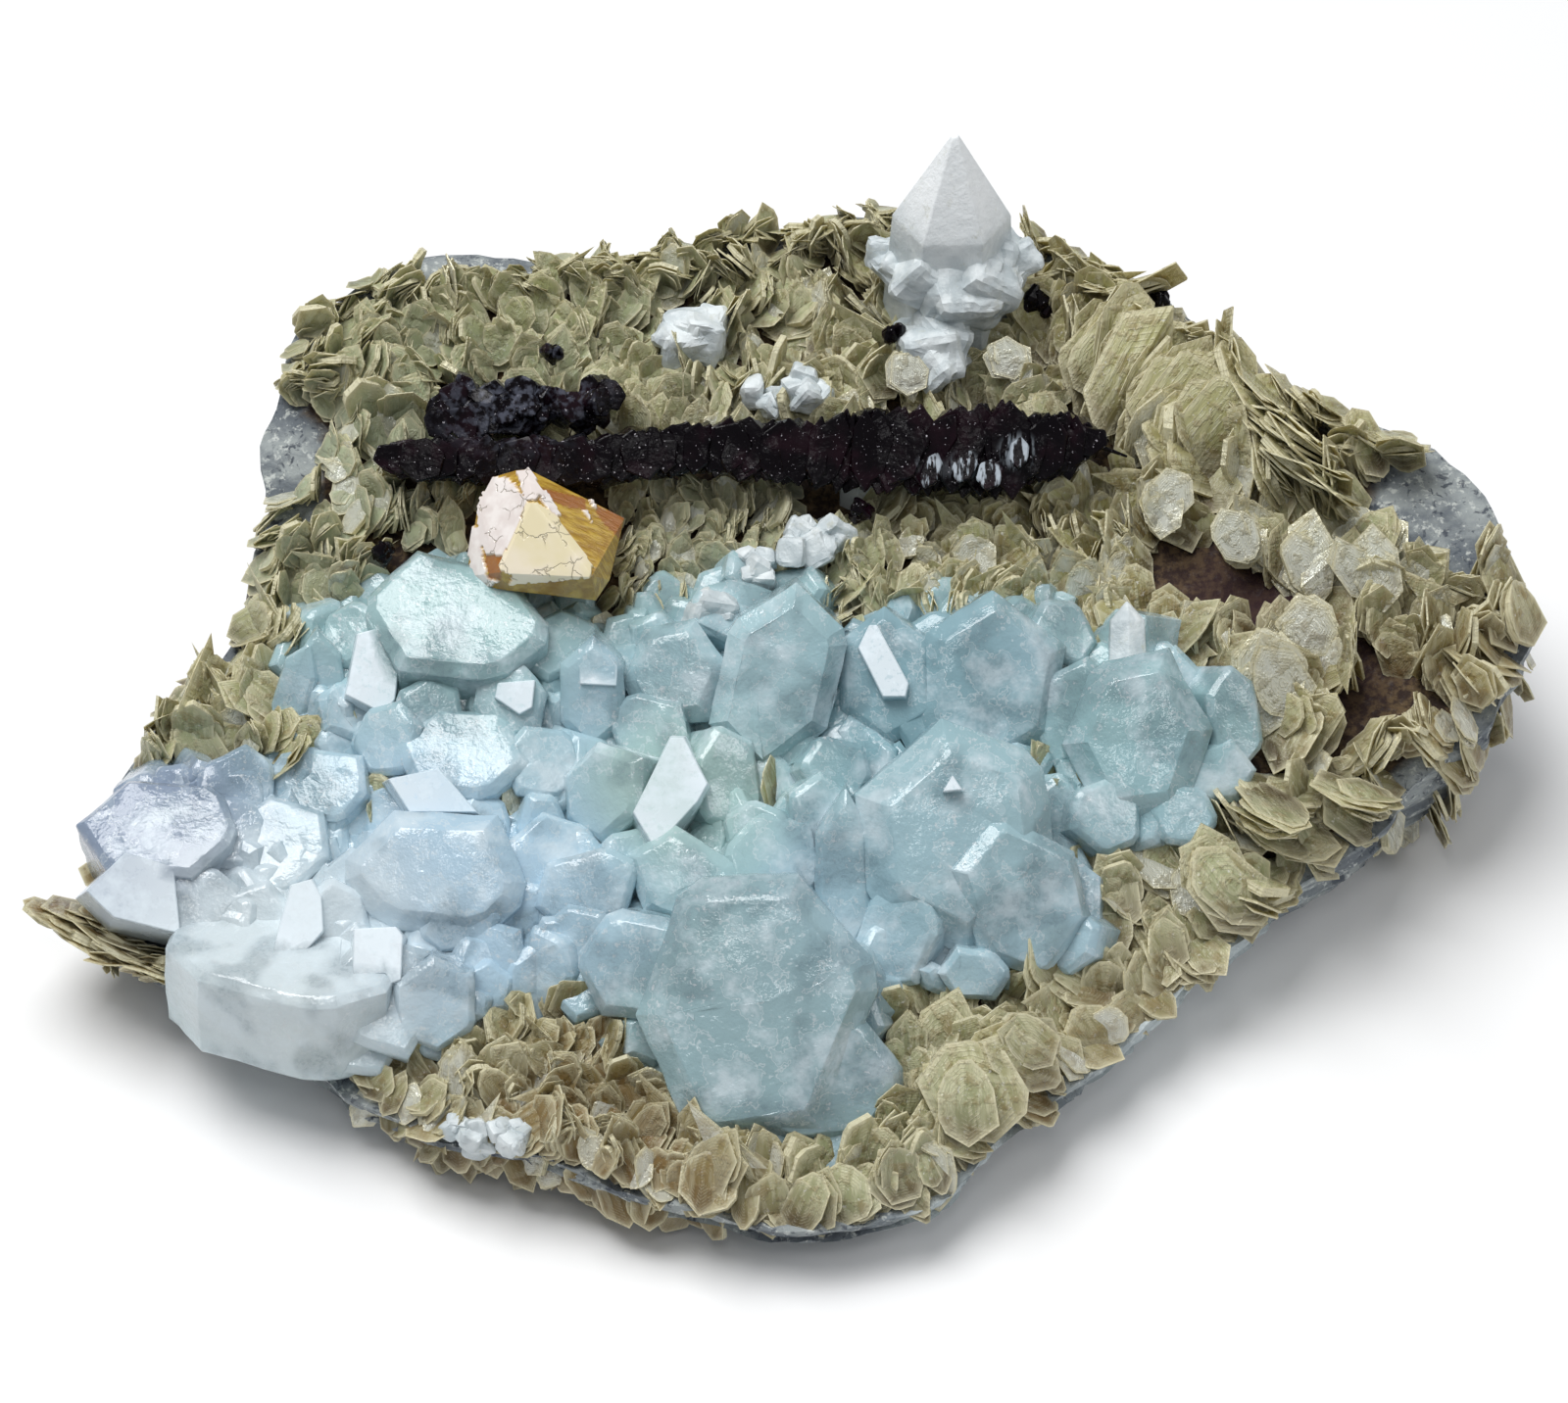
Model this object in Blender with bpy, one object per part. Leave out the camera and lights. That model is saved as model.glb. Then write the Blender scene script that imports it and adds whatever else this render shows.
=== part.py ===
"""Beryl specimen: a schist slab grown over with muscovite, beryl tablets and scheelite.

Lengths are in millimetres until a mesh is finished, when it is scaled to metres. +X is to the
right of somebody who looks at the front, +Y is to the back and +Z is up. The slab is about
200 mm wide, and its upper side slopes down to the front.
"""

import math
import random
from collections import namedtuple

import bmesh
import bpy
from mathutils import Matrix, Vector, noise

MM = 0.001
# Clear space that neighbouring pieces keep.
GAP = 0.3
# The visible surface is a plane that rises to the back. The mica over the rock is this deep,
# and its books stand on a layer.
MIDDLE_Y = 5.0
MIDDLE_HEIGHT = 28.0
SLOPE = 0.25
CRUST_DEPTH = 4.0
LAYER_DEPTH = 3.0
# Mica hangs over the rim by this much, and ends above the base.
OVERHANG = 2.5
CRUST_FOOT = 2.0
# The room that the rock takes goes down to here, and a cutting block from the first height to
# the second.
ROOM_FOOT = -5.0
BLOCK_HEIGHTS = (-10.0, 110.0)
# From this share of the way out, the upper side bends down to the rim.
SHOULDER = 0.72
# The rock's wall runs in to this share of the rim at its cut base.
BASE_SHARE = 0.87
RIM_SEGMENTS = 32
RINGS_ACROSS_TOP = 4
RINGS_IN_WALL = 2
RINGS_ACROSS_BASE = 1
# Height and spacing of the rock's unevenness.
ROUGHNESS = 1.1
ROUGHNESS_SPACING = 9.0
# A point's tip is this share of its width, and edges of a tablet this level are its rims.
TIP_SHARE = 0.02
LEVEL = 0.01
# After a cut, points this near are one point, and faces within this angle are one face.
TIDY_DISTANCE = 0.002
FLAT_ANGLE = 0.4

# The rock's rim: direction in degrees, distance from the middle, and height of its upper edge.
RIM = [
    (8, 102, 30), (20, 102, 34), (39, 86, 38), (60, 86, 42), (78, 82, 45), (92, 76, 45),
    (109, 76, 43), (127, 91, 42), (137, 92, 40), (148, 85, 36), (156, 78, 30), (168, 76, 25),
    (178, 85, 20), (188, 93, 16), (194, 94, 13), (204, 86, 12), (212, 77, 11), (221, 75, 10),
    (229, 72, 10), (244, 67, 11), (260, 68, 10), (272, 70, 9), (283, 69, 9), (300, 61, 10),
    (316, 61, 11), (328, 62, 12), (341, 68, 14), (354, 82, 19), (361, 95, 26),
]

# One crystal or lump. It is placed by the middle of its outer end, and its axis leans from the
# vertical to the azimuth. Phase turns its outline before it is stretched to the half sizes,
# roll turns the stretched form about its axis, and bevel cuts the rims of its two ends.
Bit = namedtuple("Bit", "form at half_x half_y length azimuth lean phase roll bevel")


def plate(at, half_x, half_y, length, lean=42, azimuth=-90, phase=30, roll=0, bevel=0.0):
    """Give a six-sided tablet, with the usual values for what isn't stated."""
    return Bit("plate", Vector(at), half_x, half_y, length, azimuth, lean, phase, roll, bevel)


def other(form, at, half_x, half_y, length, lean=0, azimuth=-90, phase=0, roll=0):
    """Give a dipyramid, point, lump or block."""
    return Bit(form, Vector(at), half_x, half_y, length, azimuth, lean, phase, roll, 0.0)


BERYL_GROUPS = {
    "beryl_front_group": [
        plate((-3, -44, 26.5), 16, 18.5, 22, lean=40, roll=8, bevel=3),
        plate((-18.5, -36, 25.5), 9, 8.5, 18, lean=40, azimuth=-110, roll=10, bevel=1.5),
        plate((4, -50, 19), 11, 9, 16, lean=50, azimuth=-75, roll=-8, bevel=1.5),
        plate((7.5, -22.5, 27), 4.5, 12, 18, lean=48, phase=0, bevel=1),
        plate((-12, -24, 26.5), 9, 7, 18, lean=35, azimuth=-100, roll=-15, bevel=1.5),
        plate((-1.5, -20, 27), 7, 7, 18, lean=30, azimuth=-60, roll=20),
        plate((5, -13.5, 28.5), 5, 6, 15, azimuth=-70, phase=0, roll=-12),
        plate((-19, -19, 25.5), 5.5, 4.5, 15, lean=36, azimuth=-70),
        plate((-26, -29.5, 22.5), 5, 4.5, 13, lean=46, azimuth=-110),
        plate((9, -36, 22.5), 5.5, 6.5, 14, lean=50, azimuth=-50, phase=0),
    ],
    "beryl_front_right_group": [
        plate((23, -21.5, 32), 14, 16.5, 22, lean=40, azimuth=-86, phase=0, roll=4, bevel=4),
        plate((31, -26.5, 26.5), 8.5, 10.5, 18, lean=48, azimuth=-70, phase=0, bevel=1.5),
        plate((14, -29, 23), 6, 8, 16, lean=52, azimuth=-125, phase=0),
        plate((42, -13, 27), 5.5, 5, 13, lean=38, azimuth=-60),
        plate((52, -12, 26.5), 5, 4.5, 12, lean=36, azimuth=-100),
        plate((24, -34, 21), 5, 4, 13, lean=48),
    ],
    "beryl_blue_group": [
        plate((-45, -23.5, 28), 13.5, 9.5, 18, lean=34, roll=-6, bevel=2.5),
        plate((-30.5, -18.5, 25), 8, 6, 15, lean=30, azimuth=-60, roll=12),
        plate((-42, -4, 30.5), 9.5, 7, 16, lean=12, azimuth=-80, roll=-14, bevel=1.2),
        plate((-45, -10, 29.5), 6, 5.5, 14, lean=42, azimuth=-96, phase=0, roll=-30, bevel=0.6),
        plate((-60, -7, 27), 6.5, 6, 14, lean=25, azimuth=-120, roll=15),
        plate((-65.5, -15.5, 25), 7, 6.5, 13, lean=20, azimuth=-100, roll=-10),
        plate((-28.5, -29.5, 21.5), 4.5, 4.5, 12, lean=45, azimuth=-80),
        plate((-25, -23.5, 25.5), 7, 5.5, 14, lean=38, azimuth=-95, roll=25),
        plate((-56, -22, 24), 5, 5, 13, lean=36, azimuth=-120),
        plate((-57, -27, 24), 4.5, 5, 13, lean=44, azimuth=-75, phase=0),
        plate((-71.5, -7, 27.5), 6, 5, 13, lean=26, azimuth=-60),
        plate((-41, -28, 23.5), 5.5, 4, 13, lean=50, roll=10),
        plate((-52, -2, 30.5), 5, 5.5, 14, lean=38, azimuth=-120, phase=0),
        plate((-32, -4.5, 29), 6.5, 5.5, 14, lean=32, azimuth=-70, roll=-20),
    ],
    "beryl_middle_group": [
        plate((-14.5, -12.5, 32), 5.5, 7.5, 18, azimuth=-92, phase=0, roll=-20, bevel=0.5),
        plate((-24, -11, 29), 6.5, 7, 16, lean=46, azimuth=-135, roll=10, bevel=1.2),
        plate((-7, -8.5, 28.5), 5.5, 8, 15, lean=45, azimuth=-50, phase=0, roll=-15),
        plate((-0.5, 3.5, 36.5), 9, 13, 18, lean=48, phase=0, roll=-8, bevel=2.5),
        plate((-15, 6, 34), 8, 8, 15, lean=34, azimuth=-100, roll=15, bevel=2),
        plate((-7, 17, 35), 6, 4.5, 10, lean=25, azimuth=-60),
        plate((-18, 0, 30.5), 6, 5, 14, lean=38, azimuth=-110),
        plate((7.5, -7, 29.5), 5, 5, 14, lean=40, azimuth=-60, phase=0),
        plate((-4, -15.5, 27.5), 5, 4.5, 14, lean=36, azimuth=-120),
    ],
    "beryl_upper_left_group": [
        plate((-43, 12.5, 38.5), 13, 11, 14, lean=12, azimuth=-80, roll=-16, bevel=1.5),
        plate((-54, 6, 33.5), 4.2, 5.8, 14, azimuth=-94, phase=0, roll=-6, bevel=0.4),
        plate((-65, 6.5, 30.5), 3, 6, 12, lean=52, azimuth=-120, phase=0),
        plate((-61, 7.5, 31.5), 3.2, 6, 13, lean=50, azimuth=-80, phase=0),
        plate((-36, 2.5, 32.5), 5.5, 5, 13, lean=36, roll=20),
        plate((-25, 3, 32.5), 5, 7.5, 15, lean=50, phase=0, bevel=1.2),
        plate((-30, 12, 33.5), 6, 5, 12, lean=22, azimuth=-60),
        plate((-58, 14, 34), 5, 5, 12, lean=30, azimuth=-130),
        plate((-46, 1.5, 31.5), 5, 4.5, 12, lean=40, azimuth=-80, phase=0),
    ],
    "beryl_right_group": [
        plate((28, 4, 34.5), 10, 12.5, 18, lean=40, azimuth=-80, phase=0, roll=-12, bevel=2.5),
        plate((13.5, 5, 33.5), 7.5, 9.5, 16, azimuth=-105, phase=0, roll=12, bevel=1.5),
        plate((12.5, 3, 35.5), 2.6, 5.2, 12, azimuth=-92, phase=0, roll=14, bevel=0.4),
        plate((20, 0, 29.5), 6, 5.5, 13, lean=45),
        plate((46, -4, 33.5), 10.5, 11.5, 18, lean=38, azimuth=-95, roll=10, bevel=3),
        plate((59, 0, 31.5), 4.5, 7.5, 14, lean=45, azimuth=-60, phase=0, roll=-15),
        plate((56.5, -6, 28), 5.5, 4.5, 12, lean=40, azimuth=-80),
        plate((38, 2, 31.5), 5.5, 8, 14, azimuth=-110, phase=0),
        plate((20.5, 11, 34.5), 5.5, 5, 14, lean=30, azimuth=-120),
        plate((37, 13, 34.5), 4.5, 5.5, 13, lean=36, azimuth=-60, phase=0),
    ],
    "beryl_front_left_group": [
        plate((-64, -32, 23.5), 17.5, 9, 13.5, lean=14, azimuth=80, roll=-4, bevel=1),
        plate((-50, -37, 21.5), 7, 8, 15, lean=30, azimuth=-70, phase=0, bevel=1),
        plate((-61.5, -28, 25), 3, 6.5, 9, lean=46, azimuth=-100, phase=0, roll=-10, bevel=0.4),
        plate((-51.5, -34, 24.5), 4.5, 5, 13, azimuth=-92, phase=0, bevel=0.4),
        plate((-44.5, -38.5, 21), 6, 6, 14, lean=48, azimuth=-85, phase=0, bevel=0.8),
        plate((-38, -35, 19.5), 4, 4, 11, lean=40, azimuth=-70),
    ],
    "beryl_left_crystal": [
        plate((-81, -14.5, 28), 11, 8.5, 17, lean=8, azimuth=-100, roll=4, bevel=1),
        plate((-71.5, -14.5, 26), 6.5, 6.5, 14, lean=24, azimuth=-60, phase=0, bevel=1),
        plate((-75, -24, 24), 6, 5, 13, lean=30, azimuth=-80),
    ],
}

SCHEELITE = [
    other("dipyramid", (-33.5, 22, 50), 14.5, 12.5, 24, lean=20, azimuth=-100, phase=45, roll=8),
]

# The long black crystal: rows of parallel blades that stand along a line from left to right.
# Row: first and last place, number of blades, half width, half height and depth of a blade.
BLACK_ROWS = [
    ((-50, 41, 42.5), (22, 41.5, 43.5), 8, 8.0, 5.5, 9),
    ((28, 41, 43), (36.5, 41, 42.5), 2, 8.5, 6.0, 10),
    ((-44, 48, 44), (-29, 47.5, 43.5), 2, 7.0, 4.0, 7),
]
BLACK_LEAN = 55
# The blades differ by these amounts in height, width, lean, azimuth and roll.
BLADE_SEED = 11
BLADE_RISE = 0.8
BLADE_WIDTHS = (0.85, 1.15)
BLADE_LEANS = 5
BLADE_FAN = 9
BLADE_ROLLS = (-14, 6)
# The room that the long black crystal takes, for the mica round it.
BLACK_ROOM = [
    other("block", (-6.5, 39, 44.7), 54, 8.5, 16, lean=BLACK_LEAN),
    other("block", (-36.5, 46.2, 45.6), 17, 5.2, 12, lean=BLACK_LEAN),
]

QUARTZ = [
    other("point", (23, 67.5, 74), 16, 13, 34, phase=30),
    other("lump", (23, 60, 50), 8, 7, 14),
    other("lump", (35, 71, 54), 6, 6, 12),
    other("lump", (14, 70, 54), 5, 5, 12),
]

ALBITE_LUMPS = {
    "albite_back": [other("lump", (-12, 62, 47), 7, 5.5, 9)],
    "albite_behind_ridge": [other("lump", (0, 52, 43.5), 8, 4.5, 8)],
    "albite_middle": [
        other("lump", (4, 27.5, 37.5), 7, 5.5, 9),
        other("point", (10, 38, 42), 2.5, 2.5, 9, lean=10),
    ],
    "albite_front": [other("lump", (-36, -54, 16), 7, 3.5, 8)],
}

SMALL_BLACK_CRYSTALS = {
    "black_crystal_1": [other("dipyramid", (35.5, 66.5, 49), 3.2, 3.2, 7, lean=20)],
    "black_crystal_2": [other("dipyramid", (52.5, 66.5, 47.5), 2.4, 2.4, 6, lean=30)],
    "black_crystal_3": [other("dipyramid", (15, 56.5, 49.5), 2.2, 2.2, 6, lean=10)],
    "black_crystal_4": [other("dipyramid", (10.5, 32, 40.5), 2.2, 2.2, 6, lean=25)],
    "black_crystal_5": [other("dipyramid", (-53.5, 26.5, 38.5), 2.4, 1.8, 5, lean=15)],
    "black_crystal_6": [other("dipyramid", (-32, 57, 47), 2.4, 2.4, 6, lean=20)],
}

# A crust of mica covers an outline in plan, and its books face about one way. The books'
# half sizes run from the first to the second value, and each angle has its spread.
Crust = namedtuple("Crust", "outline books sizes azimuth lean")

CRUSTS = {
    "mica_back_left": Crust(
        [(-76, 62), (-70, 84), (-39, 90), (-22, 92), (-22, 54), (-49, 56), (-60, 50)],
        7, (5, 7.5), (-100, 50), (62, 14)),
    "mica_back_middle": Crust(
        [(-22, 92), (17, 92), (17, 65), (18, 53), (-22, 54)],
        5, (5, 8), (-80, 80), (55, 20)),
    "mica_back_right": Crust(
        [(17, 65), (17, 92), (42, 95), (62, 85), (55, 69), (43, 63), (42, 50), (18, 53)],
        5, (5, 7), (-80, 60), (60, 15)),
    "mica_left_fan": Crust(
        [(-60, 50), (-56, 52), (-46, 52), (-44, 30), (-42, 23), (-57, 23), (-60, 17), (-71, 17),
         (-71, 35)],
        5, (5, 8), (-150, 60), (68, 12)),
    "mica_left_rosette": Crust(
        [(-96, 20), (-71, 20), (-66, 12), (-66, -2), (-100, -6)],
        6, (6, 9), (-130, 80), (45, 20)),
    "mica_left_tip": Crust(
        [(-108, -6), (-90, -6), (-82, -26), (-80, -45), (-108, -30)],
        5, (5, 7), (-150, 60), (22, 10)),
    "mica_middle": Crust(
        [(-24, 42), (11, 42), (12, 21), (-23, 20)],
        4, (3.5, 5.5), (-90, 90), (55, 25)),
    "mica_right_band": Crust(
        [(12, 42), (47, 41), (46, 19), (12, 21)],
        4, (4, 6.5), (-90, 80), (58, 20)),
    "mica_right_back": Crust(
        [(43, 63), (62, 85), (80, 68), (92, 52), (78, 38), (47, 40)],
        7, (8, 12), (-55, 45), (55, 15)),
    "mica_right_middle": Crust(
        [(47, 40), (78, 38), (80, 29), (60, 16), (46, 17)],
        5, (7, 10), (-80, 50), (48, 14)),
    "mica_right_side": Crust(
        [(80, 29), (97, 23), (103, 10), (103, -6), (77, -3), (63, 2), (62, 16)],
        7, (7, 10), (-80, 60), (58, 14)),
    "mica_right_front": Crust(
        [(63, -2), (77, -4), (104, -7), (95, -22), (66, -34), (54, -25), (40, -19), (46, -15)],
        7, (9, 13), (-60, 50), (32, 12)),
    "mica_front_right": Crust(
        [(40, -19), (54, -25), (64, -36), (50, -56), (36, -64), (12, -50), (16, -38), (36, -32)],
        8, (7, 11), (-60, 50), (50, 15)),
    "mica_front_tip": Crust(
        [(12, -50), (36, -64), (20, -76), (-6, -78), (-18, -72), (-12, -52)],
        5, (5, 8), (-90, 60), (50, 20)),
    "mica_front": Crust(
        [(-68, -44), (-46, -43), (-24, -40), (-13, -53), (-18, -72), (-40, -70), (-70, -60)],
        8, (4.5, 7), (-90, 80), (55, 25)),
}
BOOK_THICKNESS = (1.8, 3.6)
# Books that stand out from the edge.
EDGE_BOOKS = {
    "mica_left_tip": [
        plate((-94, -18, 16.5), 7, 6, 2.5, lean=16, azimuth=-160),
        plate((-87, -25, 13.5), 7, 5, 2.5, lean=14, azimuth=-140, roll=20),
    ],
    "mica_right_front": [plate((91, -8, 14), 7, 7, 3, lean=66, azimuth=-75, roll=10)],
}
# A book's second half size is this share of its first, and its middle stands out of the layer
# by a share of its size.
BOOK_WIDTHS = (0.8, 1.0)
BOOK_STANDS_OUT = 0.15
# Random places that are tried for each book, out to this share of the way to the rim. Past the
# next share, a book lies against the rock's wall, this share of its size above the mica's foot.
TRIES = 60
LAST_SHARE = 1.03
WALL_SHARE = 0.9
WALL_RISE = 0.8
WALL_LEAN = (70, 84)
WALL_FAN = 20

FINISHES = {
    "schist": ((0.30, 0.31, 0.31, 1), 0.85),
    "beryl": ((0.55, 0.70, 0.78, 1), 0.25),
    "scheelite": ((0.72, 0.38, 0.08, 1), 0.30),
    "black crystal": ((0.02, 0.012, 0.016, 1), 0.25),
    "quartz": ((0.78, 0.82, 0.84, 1), 0.45),
    "muscovite": ((0.50, 0.44, 0.26, 1), 0.40),
}


def principled(name, colour, roughness):
    """Make one material."""
    material = bpy.data.materials.new(name)
    material.use_nodes = True
    shader = material.node_tree.nodes["Principled BSDF"]
    shader.inputs["Base Color"].default_value = colour
    shader.inputs["Roughness"].default_value = roughness
    shader.inputs["Metallic"].default_value = 0.0
    material.diffuse_color = colour
    return material


def clear_scene():
    """Take away the start-up objects."""
    for obj in list(bpy.data.objects):
        bpy.data.objects.remove(obj, do_unlink=True)


def new_collection(name):
    """Add a collection to the scene."""
    collection = bpy.data.collections.new(name)
    bpy.context.scene.collection.children.link(collection)
    return collection


def object_from(bm, name, collection):
    """Finish a mesh in metres as an object of the collection."""
    bmesh.ops.scale(bm, vec=(MM, MM, MM), verts=bm.verts)
    mesh = bpy.data.meshes.new(name)
    bm.to_mesh(mesh)
    bm.free()
    obj = bpy.data.objects.new(name, mesh)
    collection.objects.link(obj)
    return obj


def ease(value, start, end):
    """Rise smoothly from 0 at start to 1 at end."""
    step = min(max((value - start) / (end - start), 0.0), 1.0)
    return step * step * (3 - 2 * step)


def rim_at(angle):
    """Distance of the rim and height of its edge in one direction."""
    points = RIM + [(RIM[0][0] + 360, RIM[0][1], RIM[0][2])]
    degrees = math.degrees(angle) % 360
    if degrees < points[0][0]:
        degrees += 360
    for before, after in zip(points, points[1:]):
        if degrees <= after[0]:
            step = ease(degrees, before[0], after[0])
            radius = before[1] + (after[1] - before[1]) * step
            return radius, before[2] + (after[2] - before[2]) * step
    return points[-1][1], points[-1][2]


def uneven(x, y):
    """The rock's unevenness at a place."""
    return ROUGHNESS * noise.noise(Vector((x, y, 0.0)) / ROUGHNESS_SPACING)


def surface(x, y):
    """Height of the visible surface inside the rim."""
    return MIDDLE_HEIGHT + SLOPE * (y - MIDDLE_Y)


def top_at(x, y, lift):
    """Height of the rock's upper side at a place, raised by lift."""
    radius, edge = rim_at(math.atan2(y - MIDDLE_Y, x))
    share = math.hypot(x, y - MIDDLE_Y) / radius
    inside = surface(x, y) - CRUST_DEPTH
    bend = ease(share, SHOULDER, 1.0)
    return inside * (1 - bend) + (edge + uneven(x, y)) * bend + lift


def slab(spread, lift, foot):
    """The rock's form, widened by spread, raised by lift and cut off flat at foot."""
    bm = bmesh.new()
    rings = RINGS_ACROSS_TOP + RINGS_IN_WALL + RINGS_ACROSS_BASE
    bmesh.ops.create_uvsphere(bm, u_segments=RIM_SEGMENTS, v_segments=rings, radius=1)
    for vert in bm.verts:
        angle = math.atan2(vert.co.y, vert.co.x)
        ring = round(math.acos(min(max(vert.co.z, -1), 1)) / math.pi * rings)
        radius, edge = rim_at(angle)
        down = min(max((ring - RINGS_ACROSS_TOP) / RINGS_IN_WALL, 0.0), 1.0)
        if ring <= RINGS_ACROSS_TOP:
            reach = (radius + spread) * ring / RINGS_ACROSS_TOP
        elif ring < rings:
            reach = (radius + spread) * (1 - (1 - BASE_SHARE) * down ** 2)
        else:
            reach = 0.0
        x = reach * math.cos(angle)
        y = MIDDLE_Y + reach * math.sin(angle)
        height = top_at(x, y, lift) if down == 0.0 else (edge + lift) * (1 - down) + foot * down
        vert.co = (x, y, height)
    bmesh.ops.triangulate(bm, faces=bm.faces)
    bmesh.ops.recalc_face_normals(bm, faces=bm.faces)
    return bm


def unit_form(form, phase):
    """A crystal's form in a box from -1 to 1, with its axis along Z."""
    bm = bmesh.new()
    if form == "plate":
        bmesh.ops.create_cone(bm, cap_ends=True, segments=6, radius1=1, radius2=1, depth=2)
    elif form == "point":
        bmesh.ops.create_cone(bm, cap_ends=True, segments=6, radius1=1, radius2=TIP_SHARE,
                              depth=2)
    elif form == "block":
        bmesh.ops.create_cube(bm, size=2)
    elif form == "dipyramid":
        bmesh.ops.create_uvsphere(bm, u_segments=4, v_segments=2, radius=1)
    else:
        bmesh.ops.create_icosphere(bm, subdivisions=1, radius=1)
    bmesh.ops.rotate(bm, matrix=Matrix.Rotation(math.radians(phase), 3, "Z"), verts=bm.verts)
    return bm


def bit_mesh(bit, extra=0.0):
    """Build one crystal, each way larger by extra."""
    bm = unit_form(bit.form, bit.phase)
    size = (bit.half_x + extra, bit.half_y + extra, bit.length / 2 + extra)
    bmesh.ops.scale(bm, vec=size, verts=bm.verts)
    if bit.bevel:
        rims = [edge for edge in bm.edges if abs(edge.verts[0].co.z - edge.verts[1].co.z) < LEVEL]
        bmesh.ops.bevel(bm, geom=rims, offset=bit.bevel, segments=1, profile=0.5,
                        affect="EDGES", material=-1, clamp_overlap=True)
    turn = Matrix.Rotation(math.radians(bit.azimuth + 90), 4, "Z")
    turn = turn @ Matrix.Rotation(math.radians(bit.lean), 4, "X")
    turn = turn @ Matrix.Rotation(math.radians(bit.roll), 4, "Z")
    place = Matrix.Translation(bit.at) @ turn @ Matrix.Translation((0, 0, -bit.length / 2))
    bmesh.ops.transform(bm, matrix=place, verts=bm.verts)
    bmesh.ops.triangulate(bm, faces=bm.faces)
    return bm


def prism(outline, extra):
    """A wall-sided block over an outline in plan, wider by about extra all round."""
    low, high = BLOCK_HEIGHTS
    bm = bmesh.new()
    centre = sum((Vector(point) for point in outline), Vector((0, 0))) / len(outline)
    corners = []
    for point in outline:
        out = Vector(point) - centre
        corners.append(bm.verts.new((*(Vector(point) + out.normalized() * extra), low)))
    face = bm.faces.new(corners)
    lifted = bmesh.ops.extrude_face_region(bm, geom=[face])["geom"]
    tops = [item for item in lifted if isinstance(item, bmesh.types.BMVert)]
    bmesh.ops.translate(bm, vec=(0, 0, high - low), verts=tops)
    bmesh.ops.recalc_face_normals(bm, faces=bm.faces)
    return bm


def corners_of(obj):
    """Lowest and highest corner of a mesh object."""
    points = [vert.co for vert in obj.data.vertices]
    low = Vector(min(point[axis] for point in points) for axis in range(3))
    high = Vector(max(point[axis] for point in points) for axis in range(3))
    return low, high


def meet(first, second):
    """Say whether two objects' boxes overlap."""
    low, high = corners_of(first)
    other_low, other_high = corners_of(second)
    return all(low[axis] < other_high[axis] and other_low[axis] < high[axis] for axis in range(3))


def put_in_order(bm):
    """Sort a mesh's items by place, so that the steps after it always go the same way."""
    for rank, vert in enumerate(sorted(bm.verts, key=lambda vert: tuple(vert.co))):
        vert.index = rank
    bm.verts.sort()
    for items in (bm.edges, bm.faces):
        ranked = sorted(items, key=lambda item: sorted(vert.index for vert in item.verts))
        for rank, item in enumerate(ranked):
            item.index = rank
        items.sort()


def boolean(obj, operation, operands):
    """Join, cut or intersect an object with others, and apply the result."""
    if not operands:
        return
    group = bpy.data.collections.new("operands")
    bpy.context.scene.collection.children.link(group)
    for operand in operands:
        group.objects.link(operand)
    modifier = obj.modifiers.new(operation.title(), "BOOLEAN")
    modifier.operation = operation
    modifier.operand_type = "COLLECTION"
    modifier.collection = group
    modifier.solver = "EXACT"
    result = bpy.data.meshes.new_from_object(obj.evaluated_get(depsgraph()))
    obj.modifiers.clear()
    obj.data = result
    bpy.data.collections.remove(group)
    bm = bmesh.new()
    bm.from_mesh(result)
    put_in_order(bm)
    bmesh.ops.triangulate(bm, faces=bm.faces)
    put_in_order(bm)
    bm.to_mesh(result)
    bm.free()


def depsgraph():
    """The scene as it stands now."""
    bpy.context.view_layer.update()
    return bpy.context.evaluated_depsgraph_get()


def body_volume(faces):
    """Volume inside the faces of one closed body."""
    total = 0.0
    for face in faces:
        first = face.verts[0].co
        for one, two in zip(face.verts[1:], face.verts[2:]):
            total += first.dot(one.co.cross(two.co)) / 6
    return abs(total)


def keep_largest_body(obj):
    """Clear slivers from a cut mesh and drop every body but the largest."""
    bm = bmesh.new()
    bm.from_mesh(obj.data)
    bmesh.ops.remove_doubles(bm, verts=bm.verts, dist=TIDY_DISTANCE * MM)
    bmesh.ops.dissolve_degenerate(bm, dist=TIDY_DISTANCE * MM, edges=bm.edges)
    seen = set()
    bodies = []
    for start in bm.faces:
        if start in seen:
            continue
        seen.add(start)
        body = [start]
        for face in body:
            for edge in face.edges:
                for beside in edge.link_faces:
                    if beside not in seen:
                        seen.add(beside)
                        body.append(beside)
        bodies.append(body)
    largest = max(bodies, key=body_volume)
    kept = set(largest)
    bmesh.ops.delete(bm, geom=[face for face in bm.faces if face not in kept], context="FACES")
    bmesh.ops.dissolve_limit(bm, angle_limit=math.radians(FLAT_ANGLE), verts=bm.verts,
                             edges=bm.edges, use_dissolve_boundaries=False)
    bmesh.ops.triangulate(bm, faces=bm.faces)
    bm.to_mesh(obj.data)
    bm.free()


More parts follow.
